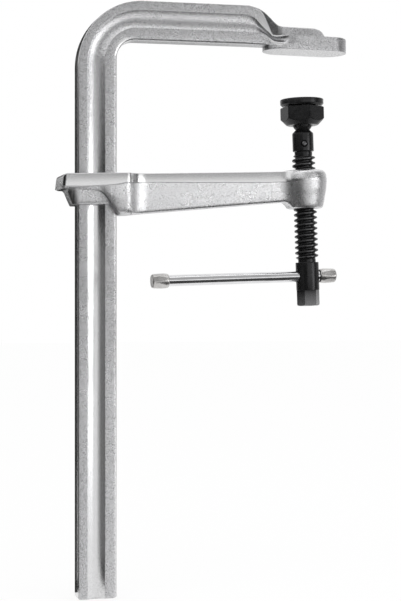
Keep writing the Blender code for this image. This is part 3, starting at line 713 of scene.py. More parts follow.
def frame_grid():
    """Every ring of the forging, from the rail's lower end to the tip of the jaw, in millimetres."""
    outer_face = throat + rail_width
    arm_top = arm_underside + arm_depth
    rings = []

    def lay(section, inner, outer):
        """Stand sections on the lines from their inner points to their outer points."""
        inner, outer = np.atleast_2d(inner), np.atleast_2d(outer)
        along = (outer - inner) / np.linalg.norm(outer - inner, axis=1)[:, None]
        ring = two_sided(section)
        flat = inner[:, None, :] + along[:, None, :] * ring[:, :, :1]
        rings.append(np.concatenate([flat[:, :, :1], ring[:, :, 1:], flat[:, :, 1:]], axis=2))

    # The chamfered lower end: a ring drawn in to one point closes it.
    small = bar_section(rail_width - 2 * end_chamfer, rail_half - end_chamfer, end_hollow_share)
    low_inner, low_outer = [-throat - end_chamfer, -rail_reach], [-outer_face + end_chamfer, -rail_reach]
    middle = [(low_inner[0] + low_outer[0]) / 2, -rail_reach]
    lay(small * 0.0, middle, [middle[0] - speck, -rail_reach])
    lay(small, low_inner, low_outer)
    # The straight rail, and the bend as a quarter turn of both its faces.
    heights = np.concatenate([[end_chamfer - rail_reach, end_chamfer + end_ring_gap - rail_reach],
                              np.linspace(low_ring_gap - rail_reach, arm_top - bend_outer - bend_ring_gap,
                                          rail_rings)])
    count = len(heights)
    plain = np.repeat(bar_section(rail_width, rail_half), count, axis=0)
    lay(plain, np.column_stack([np.full(count, -throat), heights]),
        np.column_stack([np.full(count, -outer_face), heights]))
    angles = np.linspace(math.pi, math.pi / 2, bend_rings)
    round_way = np.column_stack([np.cos(angles), np.sin(angles)])
    inner = round_way * bend_inner + [-throat + bend_inner, arm_underside - bend_inner]
    outer = round_way * bend_outer + [-outer_face + bend_outer, arm_top - bend_outer]
    lay(bar_section(np.linalg.norm(outer - inner, axis=1), rail_half), inner, outer)
    # The fixed arm, whose underside rises a little towards the neck.
    arm_x = np.linspace(outer[-1, 0], neck_start, arm_rings + 2)[1:-1]
    arm_share = (arm_x - outer[-1, 0]) / (neck_start - outer[-1, 0])
    low = arm_underside + arm_rise * arm_share
    inner_x = np.linspace(inner[-1, 0], neck_start, arm_rings + 2)[1:-1]
    inner = np.column_stack([inner_x, low])
    outer = np.column_stack([arm_x, arm_top + (neck_top - arm_top) * arm_share])
    lay(bar_section(np.linalg.norm(outer - inner, axis=1), rail_half), inner, outer)
    # The jaw: its rings crowd at both ends of the foot and where the hump ends.
    stations = np.concatenate([steps(neck_start, (before_foot, 29)), [-foot_half_length - just_before],
                               cosine_steps(-foot_half_length, -foot_straight, 64)[1:-1],
                               steps(-foot_straight, (slab_start, 13), (hump_turn, 15), (foot_straight, 29)),
                               cosine_steps(foot_straight, foot_half_length, 40)[1:]])
    axis = np.column_stack([stations, np.zeros(len(stations))])
    lay(jaw_section(stations), axis, axis + [0.0, 1.0])
    return np.concatenate(rings)


# %% Skin of the frame forging, and the finished piece
# Where the smooth skin starts and ends, along the arm and up the rail, and how smooth each place is; inside
# the bend and on the neck's band it is partly a painted highlight.
hollow_end, hollow_full = -34.0, -44.0
hollow_fade_low, hollow_fade_high = -110.0, -50.0
band_start, band_full, band_end = -42.0, -36.0, -21.0
band_half = 6.2
bend_depth, bend_spread = 2.6, 2.4
hollow_smooth, fade_share, face_smooth, ridge_smooth_highlight = 0.8, 0.7, 0.35, 0.6
# How near a point must be to a surface to count as lying on it.
face_margin, tip_margin, edge_margin, floor_margin, bend_margin, band_margin = 0.01, 0.1, 0.15, 0.1, 0.25, 0.2
# Where the painted highlight on the neck's ridge lies: below the hollow's lower edge, across it and along the
# arm.
ridge_drop, ridge_near, ridge_far = 0.7, 0.6, 1.6
ridge_start, ridge_full, ridge_fading, ridge_end = -36.0, -30.0, -20.0, -14.0


def frame_smoothness_and_highlights(points):
    """How smooth the skin is: high in the hollow, inside the bend and on the neck's band, 0 on the flats.
    Inside the bend and on the band the mark also lightens the colour as a painted highlight.
    """
    x, y, z = points.T
    side = np.abs(y)
    face = (z < face_margin) & (x > -foot_half_length - tip_margin)
    in_side = (side < rail_half - edge_margin) & (side > rail_half - hollow_depth - floor_margin)
    hollow = (x < hollow_end) & in_side
    middle_x, middle_z = bend_outer - throat - rail_width, arm_underside + arm_depth - bend_outer
    from_middle = np.hypot(x - middle_x, np.maximum(z - middle_z, 0.0))
    outside = (x < middle_x) & (from_middle > bend_outer - bend_margin)
    inner_x, inner_z = bend_inner - throat, arm_underside - bend_inner
    from_inner = np.hypot(x - inner_x, z - inner_z)
    inside = (x < inner_x) & (z > inner_z) & (from_inner < bend_inner + bend_depth)
    # painted highlight: the inside of the bend is marked smooth, most towards its middle, which lightens its
    # colour
    bend_highlight_share = bend_spread * (inner_x - x) * (z - inner_z) / np.maximum(from_inner, 1.0) ** 2
    fade = 1.0 - fade_share * rise(z, hollow_fade_low, hollow_fade_high)
    in_hollow = np.where(hollow, hollow_smooth * rise(x, hollow_end, hollow_full) * fade, 0.0)
    smooth = np.where(outside, 1.0, np.where(inside, np.clip(bend_highlight_share, 0.0, 1.0), in_hollow))
    crease, hollow_top = smooth_rows(neck_lines[:, [0, 3, 5]], x)
    between = (z < crease + band_margin) & (z > hollow_top - band_margin)
    band = between & (side > band_half) & (x < band_end)
    # painted highlight, partly: the neck's band is marked smooth, which lightens its colour
    smooth = np.where(band, np.maximum(smooth, rise(x, band_start, band_full)), smooth)
    # painted highlight: the neck's ridge is marked smooth and not dull, so its colour comes out lighter
    return np.where(face, face_smooth, np.maximum(smooth, ridge_smooth_highlight * (1.0 - frame_dullness_and_ridge_highlight(points))))


def frame_dullness_and_ridge_highlight(points):
    """1 on the rolled bar's darker skin, and less on the neck's lower ridge, where the lighter, smoother
    colour is a painted highlight.
    """
    x, z = points[:, 0], points[:, 2]
    ridge = smooth_rows(neck_lines[:, [0, 7]], x)[0] - ridge_drop
    across = rise(np.abs(z - ridge), ridge_far, ridge_near)
    along = rise(x, ridge_start, ridge_full) * rise(x, ridge_end, ridge_fading)
    return 1.0 - across * along


def stands_for(piece, body, slot, *nodes):
    """The piece rides on its body and is shown instead of its solids; the slot is not used."""
    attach(piece, body)
    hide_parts(*nodes)
    report(piece)


frame_forging = make_piece("frame_forging", [frame_grid()], forged)
# the smooth and dull marks also carry painted highlights inside the bend, on the neck's band and on its ridge
mark_points(frame_forging, "smooth", frame_smoothness_and_highlights)
mark_points(frame_forging, "dull", frame_dullness_and_ridge_highlight)
stands_for(frame_forging, "frame", "plated_forging", "rail_and_fixed_arm")

# %% [markdown]
# ## The sliding arm
#
# The second forging is also a section carried along a path, from the collar's end to the boss. Its corners
# are the guide's foot, the wall under the collar's rim, the rim itself, the parting line where the two dies
# met, and the top edge. Only the boss is turned, so it is a surface of revolution joined on, and the web
# flares towards it so that the two meet in a fillet. The rail's window and the screw's bore are cut last.

# %% The sliding arm's place and lines
arm_drop = 93.6
arm_cant = math.radians(2.04)


def on_arm(points):
    """Carry points from the arm's own axes, in millimetres, to the frame: a small turn and a drop."""
    points = np.asarray(points, float)
    x = points[..., 0] * math.cos(arm_cant) - points[..., 2] * math.sin(arm_cant)
    z = points[..., 0] * math.sin(arm_cant) + points[..., 2] * math.cos(arm_cant) - arm_drop
    return np.stack([x, points[..., 1], z], axis=-1) * MM


def off_arm(points):
    """The way back: reach from the screw's axis and height over the parting line, both in millimetres."""
    x, z = points[:, 0], points[:, 2] + arm_drop
    reach = -x * math.cos(arm_cant) - z * math.sin(arm_cant)
    return reach, -x * math.sin(arm_cant) + z * math.cos(arm_cant)


# Half widths, corners and walls in millimetres, and reaches measured from the screw's axis.
collar_half = 16.5
collar_corner = 2.1
collar_lean = 1.6
collar_edge = 2.3
web_half = 7.1
arm_top_height = 5.8
end_wall, nose_wall = 13.0, 4.4
collar_end = (throat + rail_width) / math.cos(arm_cant) + end_wall
collar_nose = throat / math.cos(arm_cant) - nose_wall
web_fillet, nose_round = 18.0, 5.5
nose_turn = math.acos(1.0 - (collar_half - web_half) / (web_fillet + nose_round))
nose_run = nose_round * math.sin(nose_turn)
web_fillet_run = web_fillet * math.sin(nose_turn)
web_start = collar_nose - nose_run - web_fillet_run
boss_fillet = 14.0
# The guide that hangs under the collar.
guide_half, guide_depth, guide_taper, guide_corner = 12.25, 16.0, 1.2, 4.0
guide_start, guide_end, guide_end_low = 144.0, collar_end - 5.0, collar_end - 8.6
guide_top, guide_bow = 6.0, 0.8
# The web's depth, and how its underside and its top edge sweep out to the boss.
web_end = 134.0
web_depth_at_boss, web_depth_at_collar, boss_depth = 15.4, 23.4, 20.9
low_sweep_start, low_sweep_run, low_sweep = 18.5, 8.0, 0.113
top_sweep_start, top_sweep_run, top_sweep = 20.5, 5.0, 0.03
flare_reach, side_share, boss_overlap, least_gap = 30.0, 0.6, 0.06, 0.1
# Draft of the walls, width of the lower edges, and what stands proud where the flash was trimmed.
collar_draft, web_draft = 2.6, 1.4
cheek_top, cheek_bottom = 6.0, 23.0
web_edge, rim_edge, cheek_edge, edge_turn_share = 2.0, 1.2, 2.2, 0.3
flash_change, collar_flash, web_flash = 125.0, 0.45, 0.15
lean_low, lean_start, lean_full = -5.0, 172.0, 180.0
# The step of the flash: heights under the band and how far in or out each one stands; then the corners.
flash_low, flash_low_in, flash_under, band_out, top_in = 0.8, 0.22, 0.25, 0.1, 0.15
guide_foot_corner, guide_rim_corner, edge_foot_corner, edge_corner = 2.6, 0.8, 1.0, 1.2
wall_corner, flash_corners, arm_top_corner = 0.6, (0.25, 0.12, 0.15), 1.0
waist_share, waist_draft_share, end_drop_share, guide_margin = 0.4, 0.5, 0.5, 0.05
arm_end_height = -0.2
# Reaches between which the rings stand closer or further apart.
cheek_reach, boss_side, boss_inside = 168.0, 26.0, 12.0
# Under the collar and down the cheek: reach and height of the rim's lower edge.
rim_line = np.array([[133.9, -23.3], [135.2, -23.4], [139.5, -23.3], [142.6, -22.8], [144.9, -21.2],
                     [147.4, -17.7], [150.0, -13.2], [152.7, -9.6], [156.1, -6.9], [159.7, -5.9],
                     [166.0, -5.4], [176.0, -5.0], [184.0, -4.5]])
# Reach and height of the lower edge of the trimmed band, from the boss's nose to the collar's end.
band_line = np.array([[-17.0, -0.4], [-5.2, -1.0], [2.3, -1.05], [8.4, -1.8], [17.4, -1.6], [32.9, -1.8],
                      [81.9, -1.3], [118.8, -0.6], [134.8, -0.7], [144.5, -2.1], [155.9, -2.8], [167.2, -3.2],
                      [181.0, -3.0], [185.4, -2.9]])
# The turned boss: height and radius.
boss_line = np.array([[-21.2, 11.7], [-20.9, 12.4], [-19.6, 13.2], [-16.0, 14.1], [-12.0, 14.9], [-6.7, 16.0],
                      [-1.0, 16.5], [0.0, 16.6], [1.2, 16.45], [4.0, 15.9], [5.6, 15.0], [6.6, 13.6],
                      [7.1, 11.9]])


def collar_side(reach):
    """Half width at the parting line: the collar, a rounded edge and a hollow arc down to the web."""
    run = np.clip(reach - web_start, 0.0, web_fillet_run)
    hollow = web_half + web_fillet - np.sqrt(web_fillet ** 2 - run ** 2)
    over = np.clip(collar_nose - reach, 0.0, nose_run)
    edge = collar_half - nose_round + np.sqrt(nose_round ** 2 - over ** 2)
    return np.where(reach >= collar_nose - nose_run, edge, hollow)


def flare(reach, half, height):
    """Half width near the boss: an arc that leaves the web's side and touches the boss's own circle.

    The arc's centre lies boss_fillet beside the side and as far outside the circle, and the circle is the
    boss's at this height. It is taken a little too small, so that the surfaces cross and don't just touch.
    """
    circle = smooth_rows(boss_line, height.ravel())[0].reshape(height.shape) - boss_overlap
    beside = np.minimum(half + boss_fillet, circle + boss_fillet - least_gap)
    centre = np.sqrt((circle + boss_fillet) ** 2 - beside ** 2)
    touch = centre * circle / (circle + boss_fillet)
    run = np.clip(centre - reach, 0.0, centre - touch)
    return half + boss_fillet - np.sqrt(boss_fillet ** 2 - run ** 2)


# %% Rings of the sliding arm
def arm_grid():
    """Rings of the sliding arm from the collar's end to the screw's axis, in the arm's own axes."""
    turn = np.linspace(0.0, math.pi / 2, 16)
    corner_reach = collar_end - collar_corner * (1.0 - np.cos(turn))
    reach = np.concatenate([[collar_end], corner_reach[:-1], steps(
        corner_reach[-1], (cheek_reach, 43), (collar_nose, 79), (collar_nose - nose_run, 11), (web_start, 39),
        (boss_side, 39), (boss_inside, 43), (0.0, 5)), [0.0]])
    half = collar_side(reach)
    half[1:1 + len(turn)] = collar_half - collar_corner * (1.0 - np.sin(turn))
    end_run = np.clip(reach - collar_end + collar_edge, 0.0, collar_edge)
    end_drop = collar_edge - np.sqrt(collar_edge ** 2 - end_run ** 2)
    rim, band = smooth_rows(rim_line, reach)[0], smooth_rows(band_line, reach)[0]
    # The web's underside sweeps down to the boss, and the top edge sweeps up to it.
    in_web = reach < web_end
    depth = web_depth_at_boss + (web_depth_at_collar - web_depth_at_boss) * reach / web_end
    sweep = np.clip(low_sweep_start - reach, 0.0, low_sweep_run) ** 2 * low_sweep
    depth = np.minimum(depth + sweep, np.maximum(depth, boss_depth))
    top = arm_top_height + np.clip(top_sweep_start - reach, 0.0, top_sweep_run) ** 2 * top_sweep - end_drop
    cheek_share = rise(-rim, cheek_top, cheek_bottom)
    draft = collar_draft - (collar_draft - web_draft) * rise(reach, web_end, web_end - web_fillet_run)
    rim = np.where(in_web, -depth, rim)
    rim_half = np.maximum(half - draft, 0.0)
    # The guide under the collar: its end leans in, its corner is round, and it stops at the cheek.
    lean_share = rise(reach, guide_end, guide_end_low)
    in_guide = (reach < guide_end) & (reach > guide_start)
    guide_foot = -guide_top - (guide_depth - guide_top) * lean_share ** guide_bow
    foot = np.where(in_guide, np.minimum(rim, guide_foot), rim)
    wall, foot_wall = [guide_half - guide_corner + np.sqrt(guide_corner ** 2 - run ** 2) for run in (
        np.clip(guide_corner - (end - reach), 0.0, guide_corner) for end in (guide_end, guide_end_low))]
    has_guide = foot < rim - guide_margin
    edge = np.where(in_web, web_edge, rim_edge + cheek_share * cheek_edge)
    foot_half_here = np.maximum(np.where(has_guide, np.minimum(foot_wall, rim_half) - guide_taper,
                                         rim_half - edge), 0.0)
    wall_half = np.where(has_guide, np.minimum(wall, rim_half),
                         np.maximum(rim_half - edge_turn_share * edge, 0.0))
    low_drop = end_drop * end_drop_share
    foot = np.where(has_guide, foot, rim) + low_drop
    wall_top = np.where(has_guide, rim - shelf_gap, rim + edge_turn_share * edge) + low_drop
    edge_top = np.where(has_guide, rim, rim + edge) + low_drop
    flash = np.where(reach > flash_change, collar_flash, web_flash)
    # From the foot to the top; the small steps beside the band are what is left of the trimmed flash.
    lines = [(foot, 0.0, None),
             (foot, foot_half_here, np.where(has_guide, guide_foot_corner, edge_foot_corner)),
             (wall_top, wall_half, wall_corner),
             (edge_top, rim_half, np.where(has_guide, guide_rim_corner, edge_corner)),
             (edge_top * (1.0 - waist_share) + band * waist_share, half - draft * waist_draft_share,
              wall_corner),
             (band - flash_low, half - flash_low_in, flash_corners[0]),
             (band - flash_under, half - flash, flash_corners[1]), (band, half + band_out, flash_corners[2]),
             (top, half - top_in, arm_top_corner), (top, 0.0, None)]
    section = rounded(lines)
    flared = flare(np.broadcast_to(reach[:, None], section.shape[:2]), section[..., 1], section[..., 0])
    flares = (reach < flare_reach)[:, None] & (section[..., 1] > side_share * half[:, None])
    section[..., 1] = np.where(flares, flared, section[..., 1])
    section = two_sided(section)
    # Both ends are drawn in to one point, and the collar's end leans back above the parting line.
    section[0] = section[-1] = [arm_end_height, 0.0]
    lean = collar_lean * rise(section[..., 0], lean_low, arm_top_height)
    lean = lean * rise(reach, lean_start, lean_full)[:, None]
    return np.stack([lean - reach[:, None], section[..., 1], section[..., 0]], axis=-1)


# %% Turned surfaces and boxes, and the skin of the arm
def turned_grid(profile, columns, start_turn=0.0):
    """A surface of revolution: each row of the profile is a radius and a height.

    X is the radius times the cosine of the turn, and Y the radius times its sine.
    """
    angles = start_turn + np.linspace(0.0, 2 * math.pi, columns + 1)
    radius, height = np.asarray(profile, float).T
    x = radius[:, None] * np.cos(angles)
    y = radius[:, None] * np.sin(angles)
    return np.stack([x, y, np.repeat(height[:, None], columns + 1, axis=1)], axis=-1)


def smooth_profile(corners):
    """A turned outline: (radius, height, reach) corners, rounded as the sections are."""
    return rounded(corners)[0]


def box_grid(low, high):
    """A box between two corners as a closed grid of four rows."""
    (x0, y0, z0), (x1, y1, z1) = low, high
    ring = np.array([[x0, y0], [x1, y0], [x1, y1], [x0, y1], [x0, y0]])
    middle = np.repeat(ring[:4].mean(axis=0)[None, :], 5, axis=0)
    rows = [(middle, z0), (ring, z0), (ring, z1), (middle, z1)]
    return np.array([np.column_stack([flat, np.full(5, z)]) for flat, z in rows])


boss_skin_start, boss_skin_full, boss_skin_share = 15.0, 9.0, 0.75
end_skin_start, end_skin_full = collar_end - 1.6, collar_end - 0.6
band_skin_start, band_skin_full = -0.4, -0.1


def arm_smoothness(points):
    """1 on the band above the parting line, where the flash was trimmed off, less on the boss, 0 below."""
    reach, height = off_arm(points)
    band = smooth_rows(band_line, reach)[0]
    above = rise(height - band, band_skin_start, band_skin_full)
    at_end = rise(reach, end_skin_start, end_skin_full)
    on_boss = rise(reach, boss_skin_start, boss_skin_full)
    return above * (1.0 - at_end) * (1.0 - on_boss * boss_skin_share)


# %% Build the sliding arm
arm_forging = make_piece("arm_forging", [arm_grid()], forged, on_arm)
boss_bottom, boss_top = boss_line[0, 0], boss_line[-1, 0]
boss_rows, boss_columns, bore_columns = 92, 128, 96
heights = np.linspace(boss_bottom, boss_top, boss_rows)
barrel = np.column_stack([smooth_rows(boss_line, heights)[0], heights])
barrel = np.concatenate([[[0.0, boss_bottom]], barrel, [[0.0, boss_top]]])
carve(arm_forging, make_piece("boss_tool", [turned_grid(barrel, boss_columns)], forged, on_arm), "UNION")
collar_height, collar_middle = 29.0, 8.7
end_play, side_play = 0.8, 0.4
window_bottom, window_top = -27.0, 10.0
lean_run = collar_height * math.tan(arm_cant)
window_reach = (rail_width / math.cos(arm_cant) + lean_run + end_play) / 2
window_middle = -(throat + rail_width / 2) / math.cos(arm_cant) - collar_middle * math.tan(arm_cant)
window_half = rail_half + side_play
window = box_grid((window_middle - window_reach, -window_half, window_bottom),
                  (window_middle + window_reach, window_half, window_top))
carve(arm_forging, make_piece("window_tool", [window], forged, on_arm))
bore_radius, bore_chamfer, bore_edge = 8.9, 1.0, 0.3
tool_radius, tool_bottom, tool_top = 12.0, -24.8, 10.0
bore = smooth_profile([
    (0.0, tool_bottom, None), (tool_radius, tool_bottom, None),
    (bore_radius + bore_chamfer, boss_bottom, bore_edge),
    (bore_radius, boss_bottom + bore_chamfer, bore_edge),
    (bore_radius, boss_top - bore_chamfer, bore_edge), (bore_radius + bore_chamfer, boss_top, bore_edge),
    (tool_radius, tool_top, None), (0.0, tool_top, None)])
carve(arm_forging, make_piece("bore_tool", [turned_grid(bore, bore_columns)], forged, on_arm))
mark_points(arm_forging, "smooth", arm_smoothness)
stands_for(arm_forging, "sliding_arm", "plated_forging", "sliding_arm")

# %% [markdown]
# ## The spindle
#
# The screw has a trapezoidal thread with a pitch of 4 mm. A Screw modifier could wind one, but its ends would
# stay open. Here the thread is a sheared grid instead: each row follows the helix, so its corners run exactly
# along the crests, and both ends are clamped to a level circle, where the thread fades into the run-out. The
# turned parts above and below share those circles, so all of it closes into one mesh. The hexagon is turned
# too: its radius is the distance to the nearest of six flats, and a cone that is smaller there wins.

# %% Spindle
pitch = 4.0
thread_phase = 0.37
crest_radius, root_radius, runout_radius = 8.5, 6.25, 6.5
thread_top, thread_bottom = 18.4, -58.6
thread_fade = 1.6
round_columns = 96
head_top, head_bottom, hexagon_bottom = -60.7, -81.2, -92.7
head_radius = 8.5
hexagon_flat = 14.7 / 2
hexagon_turn = math.radians(-6.4)
hexagon_end_radius, hexagon_stock_radius = 7.1, 9.0
end_cone_run, end_cone_rise = 1.8, 1.0
journal_radius, journal_start, journal_end, journal_edge = 5.0, 20.6, 33.6, 0.6
turned_edge, seam = 0.2, 0.02
# Half of the crest's flat, and half of the tooth where its flanks end; then the bar's hole and the wear.
crest_half, flank_foot = 0.55, 1.5
crest_corner, root_corner, thread_samples = 0.22, 0.25, 3
head_low_corner, head_corner, runout_corner = 0.25, 0.5, 0.3
crest_wear_depth, wear_gap = 0.2, 0.3
bar_height = -70.95
bar_hole_radius, bar_hole_half, bar_hole_edge, bar_hole_columns = 4.3, 7.2, 0.4, 64
hole_tool_radius, hole_tool_half = 7.4, 12.0
crest_wear, hexagon_wear = 0.2, 0.85


def thread_grid():
    """The thread between its run-outs: rows follow the helix, the last column is the next turn's first."""
    profile = rounded([
        (-pitch / 2, root_radius, None), (-flank_foot, root_radius, root_corner),
        (-crest_half, crest_radius, crest_corner), (crest_half, crest_radius, crest_corner),
        (flank_foot, root_radius, root_corner), (pitch / 2, root_radius, None)], thread_samples)[0, :-1]
    first = math.floor(thread_bottom / pitch) - 2
    last = math.ceil(thread_top / pitch) + 2
    turns = np.arange(first, last)[:, None] * pitch + thread_phase
    row_height = (turns + profile[None, :, 0]).ravel()
    row_radius = np.tile(profile[:, 1], last - first)
    angles = np.linspace(0.0, 2 * math.pi, round_columns + 1)
    height = row_height[:, None] + pitch * angles[None, :] / (2 * math.pi)
    edge = np.minimum(height - thread_bottom, thread_top - height)
    limit = runout_radius + np.maximum(edge, 0.0) / thread_fade * (crest_radius - runout_radius)
    radius = np.where(edge <= 0.0, runout_radius, np.minimum(row_radius[:, None], limit))
    height = np.clip(height, thread_bottom, thread_top)
    turned = angles + hexagon_turn
    return np.stack([radius * np.cos(turned), radius * np.sin(turned), height], axis=-1)


def hexagon_radius(turns, flat, corner_turn):
    """From a hexagon's axis to its sides: a flat's distance over the cosine of the turn from its middle."""
    from_flat = np.mod(turns - corner_turn, math.pi / 3) - math.pi / 6
    return flat / np.cos(from_flat)


def squeezed(grid, limits):
    """Draw a turned grid in where its radius passes the limit of its column or point."""
    reach = np.hypot(grid[..., 0], grid[..., 1])
    share = np.minimum(1.0, limits / np.maximum(reach, speck))
    return np.concatenate([grid[..., :2] * share[..., None], grid[..., 2:]], axis=-1)


def spindle_grids():
    """Hexagon and head below the thread, run-out and journal above it."""
    joint = head_bottom - seam
    end = [(0.0, hexagon_bottom), (hexagon_end_radius, hexagon_bottom)]
    cone = [(hexagon_end_radius + share * end_cone_run, hexagon_bottom + share * end_cone_rise)
            for share in np.linspace(0.0, 1.0, 9)[1:]]
    below = turned_grid(end + cone + [(hexagon_stock_radius, joint)], round_columns, hexagon_turn)
    turns = hexagon_turn + np.linspace(0.0, 2 * math.pi, round_columns + 1)
    below = squeezed(below, hexagon_radius(turns, hexagon_flat, hexagon_turn))
    head = smooth_profile([(hexagon_flat, joint, None), (head_radius, head_bottom, head_low_corner),
                           (head_radius, head_top, head_corner), (runout_radius, head_top, runout_corner),
                           (runout_radius, thread_bottom, None)])
    head = turned_grid(head, round_columns, hexagon_turn)
    head[0] = below[-1]
    above = smooth_profile([(runout_radius, thread_top, None), (runout_radius, journal_start, turned_edge),
                            (journal_radius, journal_start, turned_edge),
                            (journal_radius, journal_end, journal_edge), (0.0, journal_end, None)])
    return [below, head, thread_grid(), turned_grid(above, round_columns, hexagon_turn)]


def spindle_wear(points):
    """Where the black skin has rubbed through: a little on the thread's crests, more on the hexagon."""
    reach, height = off_arm(points)
    in_thread = (height > thread_bottom) & (height < thread_top)
    out = np.hypot(reach, points[:, 1])
    crests = rise(out, crest_radius - crest_wear_depth, crest_radius) * crest_wear
    return np.where(in_thread, crests, np.where(height < head_bottom - wear_gap, hexagon_wear, 0.0))


def along_bar(points):
    """Lay a piece that is turned about Z along the tommy bar, and carry it to the frame."""
    return on_arm(points[:, [2, 0, 1]] + [0.0, 0.0, bar_height])


spindle = make_piece("screw_spindle", spindle_grids(), black, on_arm)
bar_hole = smooth_profile([
    (0.0, -hole_tool_half, None), (hole_tool_radius, -hole_tool_half, None),
    (bar_hole_radius, -bar_hole_half, bar_hole_edge), (bar_hole_radius, bar_hole_half, bar_hole_edge),
    (hole_tool_radius, hole_tool_half, None), (0.0, hole_tool_half, None)])
carve(spindle, make_piece("bar_hole_tool", [turned_grid(bar_hole, bar_hole_columns)], black, along_bar))
mark_points(spindle, "worn", spindle_wear)
stands_for(spindle, "spindle", "black_oxide", "spindle")

# %% [markdown]
# ## Ball head, pin and pressure pad
#
# Above the thread a turned sleeve spins on the screw's journal, held by a short pin, and ends in a ball. The
# ball sits in a hexagon cup that screws to the pressure disc, so the pad can swivel. All of these come off a
# lathe, so their outlines are short lists of corners. The cup is a piece of hexagon bar with a turned foot:
# again the smaller of two radii, which draws the curved lower edges of its flats by itself.

# %% Ball head and pin
ball_height, ball_radius = 42.2, 7.5
sleeve_radius, sleeve_bore = 7.75, 5.3
sleeve_bottom, sleeve_top, sleeve_edge, bore_end = 20.9, 34.2, 0.5, 33.9
neck_radius, neck_height = 5.2, 36.7
sleeve_bore_edge, neck_corner, ball_rows = 0.3, 0.4, 25
pin_height, pin_radius = 26.2, 2.0
pin_turn = math.radians(-102.0)
ball_leave = math.acos(neck_radius / ball_radius)
ball_turns = np.linspace(-ball_leave, math.pi / 2, ball_rows + 1)
ball_arc = [(ball_radius * math.cos(turn), ball_height + ball_radius * math.sin(turn), None)
            for turn in ball_turns[:-1]]
head_outline = [
    (0.0, bore_end, None), (sleeve_bore, bore_end, sleeve_bore_edge),
    (sleeve_bore, sleeve_bottom, sleeve_bore_edge), (sleeve_radius, sleeve_bottom, sleeve_edge),
    (sleeve_radius, sleeve_top, sleeve_edge), (neck_radius, neck_height, neck_corner)]
head_outline += ball_arc + [(0.0, ball_height + ball_radius, None)]
head_grid = turned_grid(smooth_profile(head_outline), round_columns)
ball_head = make_piece("ball_head_turned", [head_grid], black, on_arm)


def along_pin(points):
    """Lay a piece that is turned about Z along the pin, pointing outwards, and carry it to the frame."""
    x, y, out = points.T
    across = -math.sin(pin_turn), math.cos(pin_turn)
    flat_x = out * math.cos(pin_turn) + x * across[0]
    flat_y = out * math.sin(pin_turn) + x * across[1]
    return on_arm(np.column_stack([flat_x, flat_y, y + pin_height]))


# Outlines along the pin: its hole opens out as a small cone, and its own end is a low dome.
pin_play, pin_columns = 0.3, 48
hole_radius, hole_start, cone_start, cone_end, cone_radius = pin_radius + pin_play, 3.0, 7.2, 8.2, 3.2
pin_start, dome_start, dome_radius, dome_edge, pin_end = 3.7, 7.0, 1.2, 7.5, 7.6
cone_corner, pin_corner, dome_start_corner, dome_corner = 0.2, 0.2, 0.7, 0.6
pin_hole = smooth_profile([(0.0, hole_start, None), (hole_radius, hole_start, None),
                           (hole_radius, cone_start, cone_corner), (cone_radius, cone_end, None),
                           (0.0, cone_end, None)])
carve(ball_head, make_piece("pin_hole_tool", [turned_grid(pin_hole, pin_columns)], black, along_pin))
stands_for(ball_head, "ball_head", "black_oxide", "ball_head")
pin_outline = smooth_profile([
    (0.0, pin_start, None), (pin_radius, pin_start, pin_corner), (pin_radius, dome_start, dome_start_corner),
    (dome_radius, dome_edge, dome_corner), (0.0, pin_end, None)])
pin = make_piece("sleeve_pin", [turned_grid(pin_outline, pin_columns)], pin_steel, along_pin)
stands_for(pin, "ball_head", "pin_steel", "retaining_pin")

# %% Hexagon cup and pressure disc
pad_lean = math.radians(-0.4)
cup_flat = 14.0
cup_corner = cup_flat / math.cos(math.pi / 6)
cup_turn = math.radians(31.6)
cup_bottom, cup_top = -2.2, 11.2
cup_chamfer = 4.8
cup_bore, cup_bore_bottom, bore_bevel = 10.3, 1.0, 0.4
rim_drop, rim_slope_share, rim_inner = 0.4, 0.45, 13.0
# The foot's small rounding, and how far the stock stands past the hexagon's corners.
foot_in, foot_turn, foot_up, cone_start_up = 0.5, 0.1, 0.15, 0.3
stock_over, stock_drop = 0.1, 0.2
seat_radius = 7.8
cup_columns, seat_rows, cone_rows, rim_rows = 144, 9, 22, 5


def on_pad(points):
    """Carry points from the ball's centre, with the pad's own lean, to the arm and then to the frame."""
    x, y, z = np.asarray(points, float).T
    lean_x = x * math.cos(pad_lean) - z * math.sin(pad_lean)
    lean_z = x * math.sin(pad_lean) + z * math.cos(pad_lean) + ball_height
    return on_arm(np.column_stack([lean_x, y, lean_z]))


def cup_grid():
    """The cup as one closed loop of outline turned about the ball: inside down, outside up."""
    seat = [(math.sqrt(seat_radius ** 2 - z ** 2), z)
            for z in np.linspace(cup_bore_bottom, cup_bottom, seat_rows)]
    lip, shoulder = cup_bore + bore_bevel, cup_top - rim_drop
    inside = [(lip, cup_top), (cup_bore, cup_top - bore_bevel), (cup_bore, cup_bore_bottom)] + seat
    foot_radius = cup_corner - cup_chamfer
    foot = [(foot_radius - foot_in, cup_bottom), (foot_radius - foot_turn, cup_bottom + foot_up)]
    cone = [(foot_radius + up, cup_bottom + up)
            for up in np.linspace(cone_start_up, cup_chamfer + stock_over, cone_rows)]
    wall = [(cup_corner + stock_over, shoulder - stock_drop), (cup_corner + stock_over / 2, shoulder)]
    rim = [(cup_corner - drop, shoulder + drop * rim_slope_share)
           for drop in np.linspace(stock_over, 2 * rim_drop, rim_rows)]
    outline = inside + foot + cone + wall + rim + [(rim_inner, cup_top), (lip, cup_top)]
    turns = cup_turn + np.linspace(0.0, 2 * math.pi, cup_columns + 1)
    return squeezed(turned_grid(outline, cup_columns, cup_turn), hexagon_radius(turns, cup_flat, cup_turn))


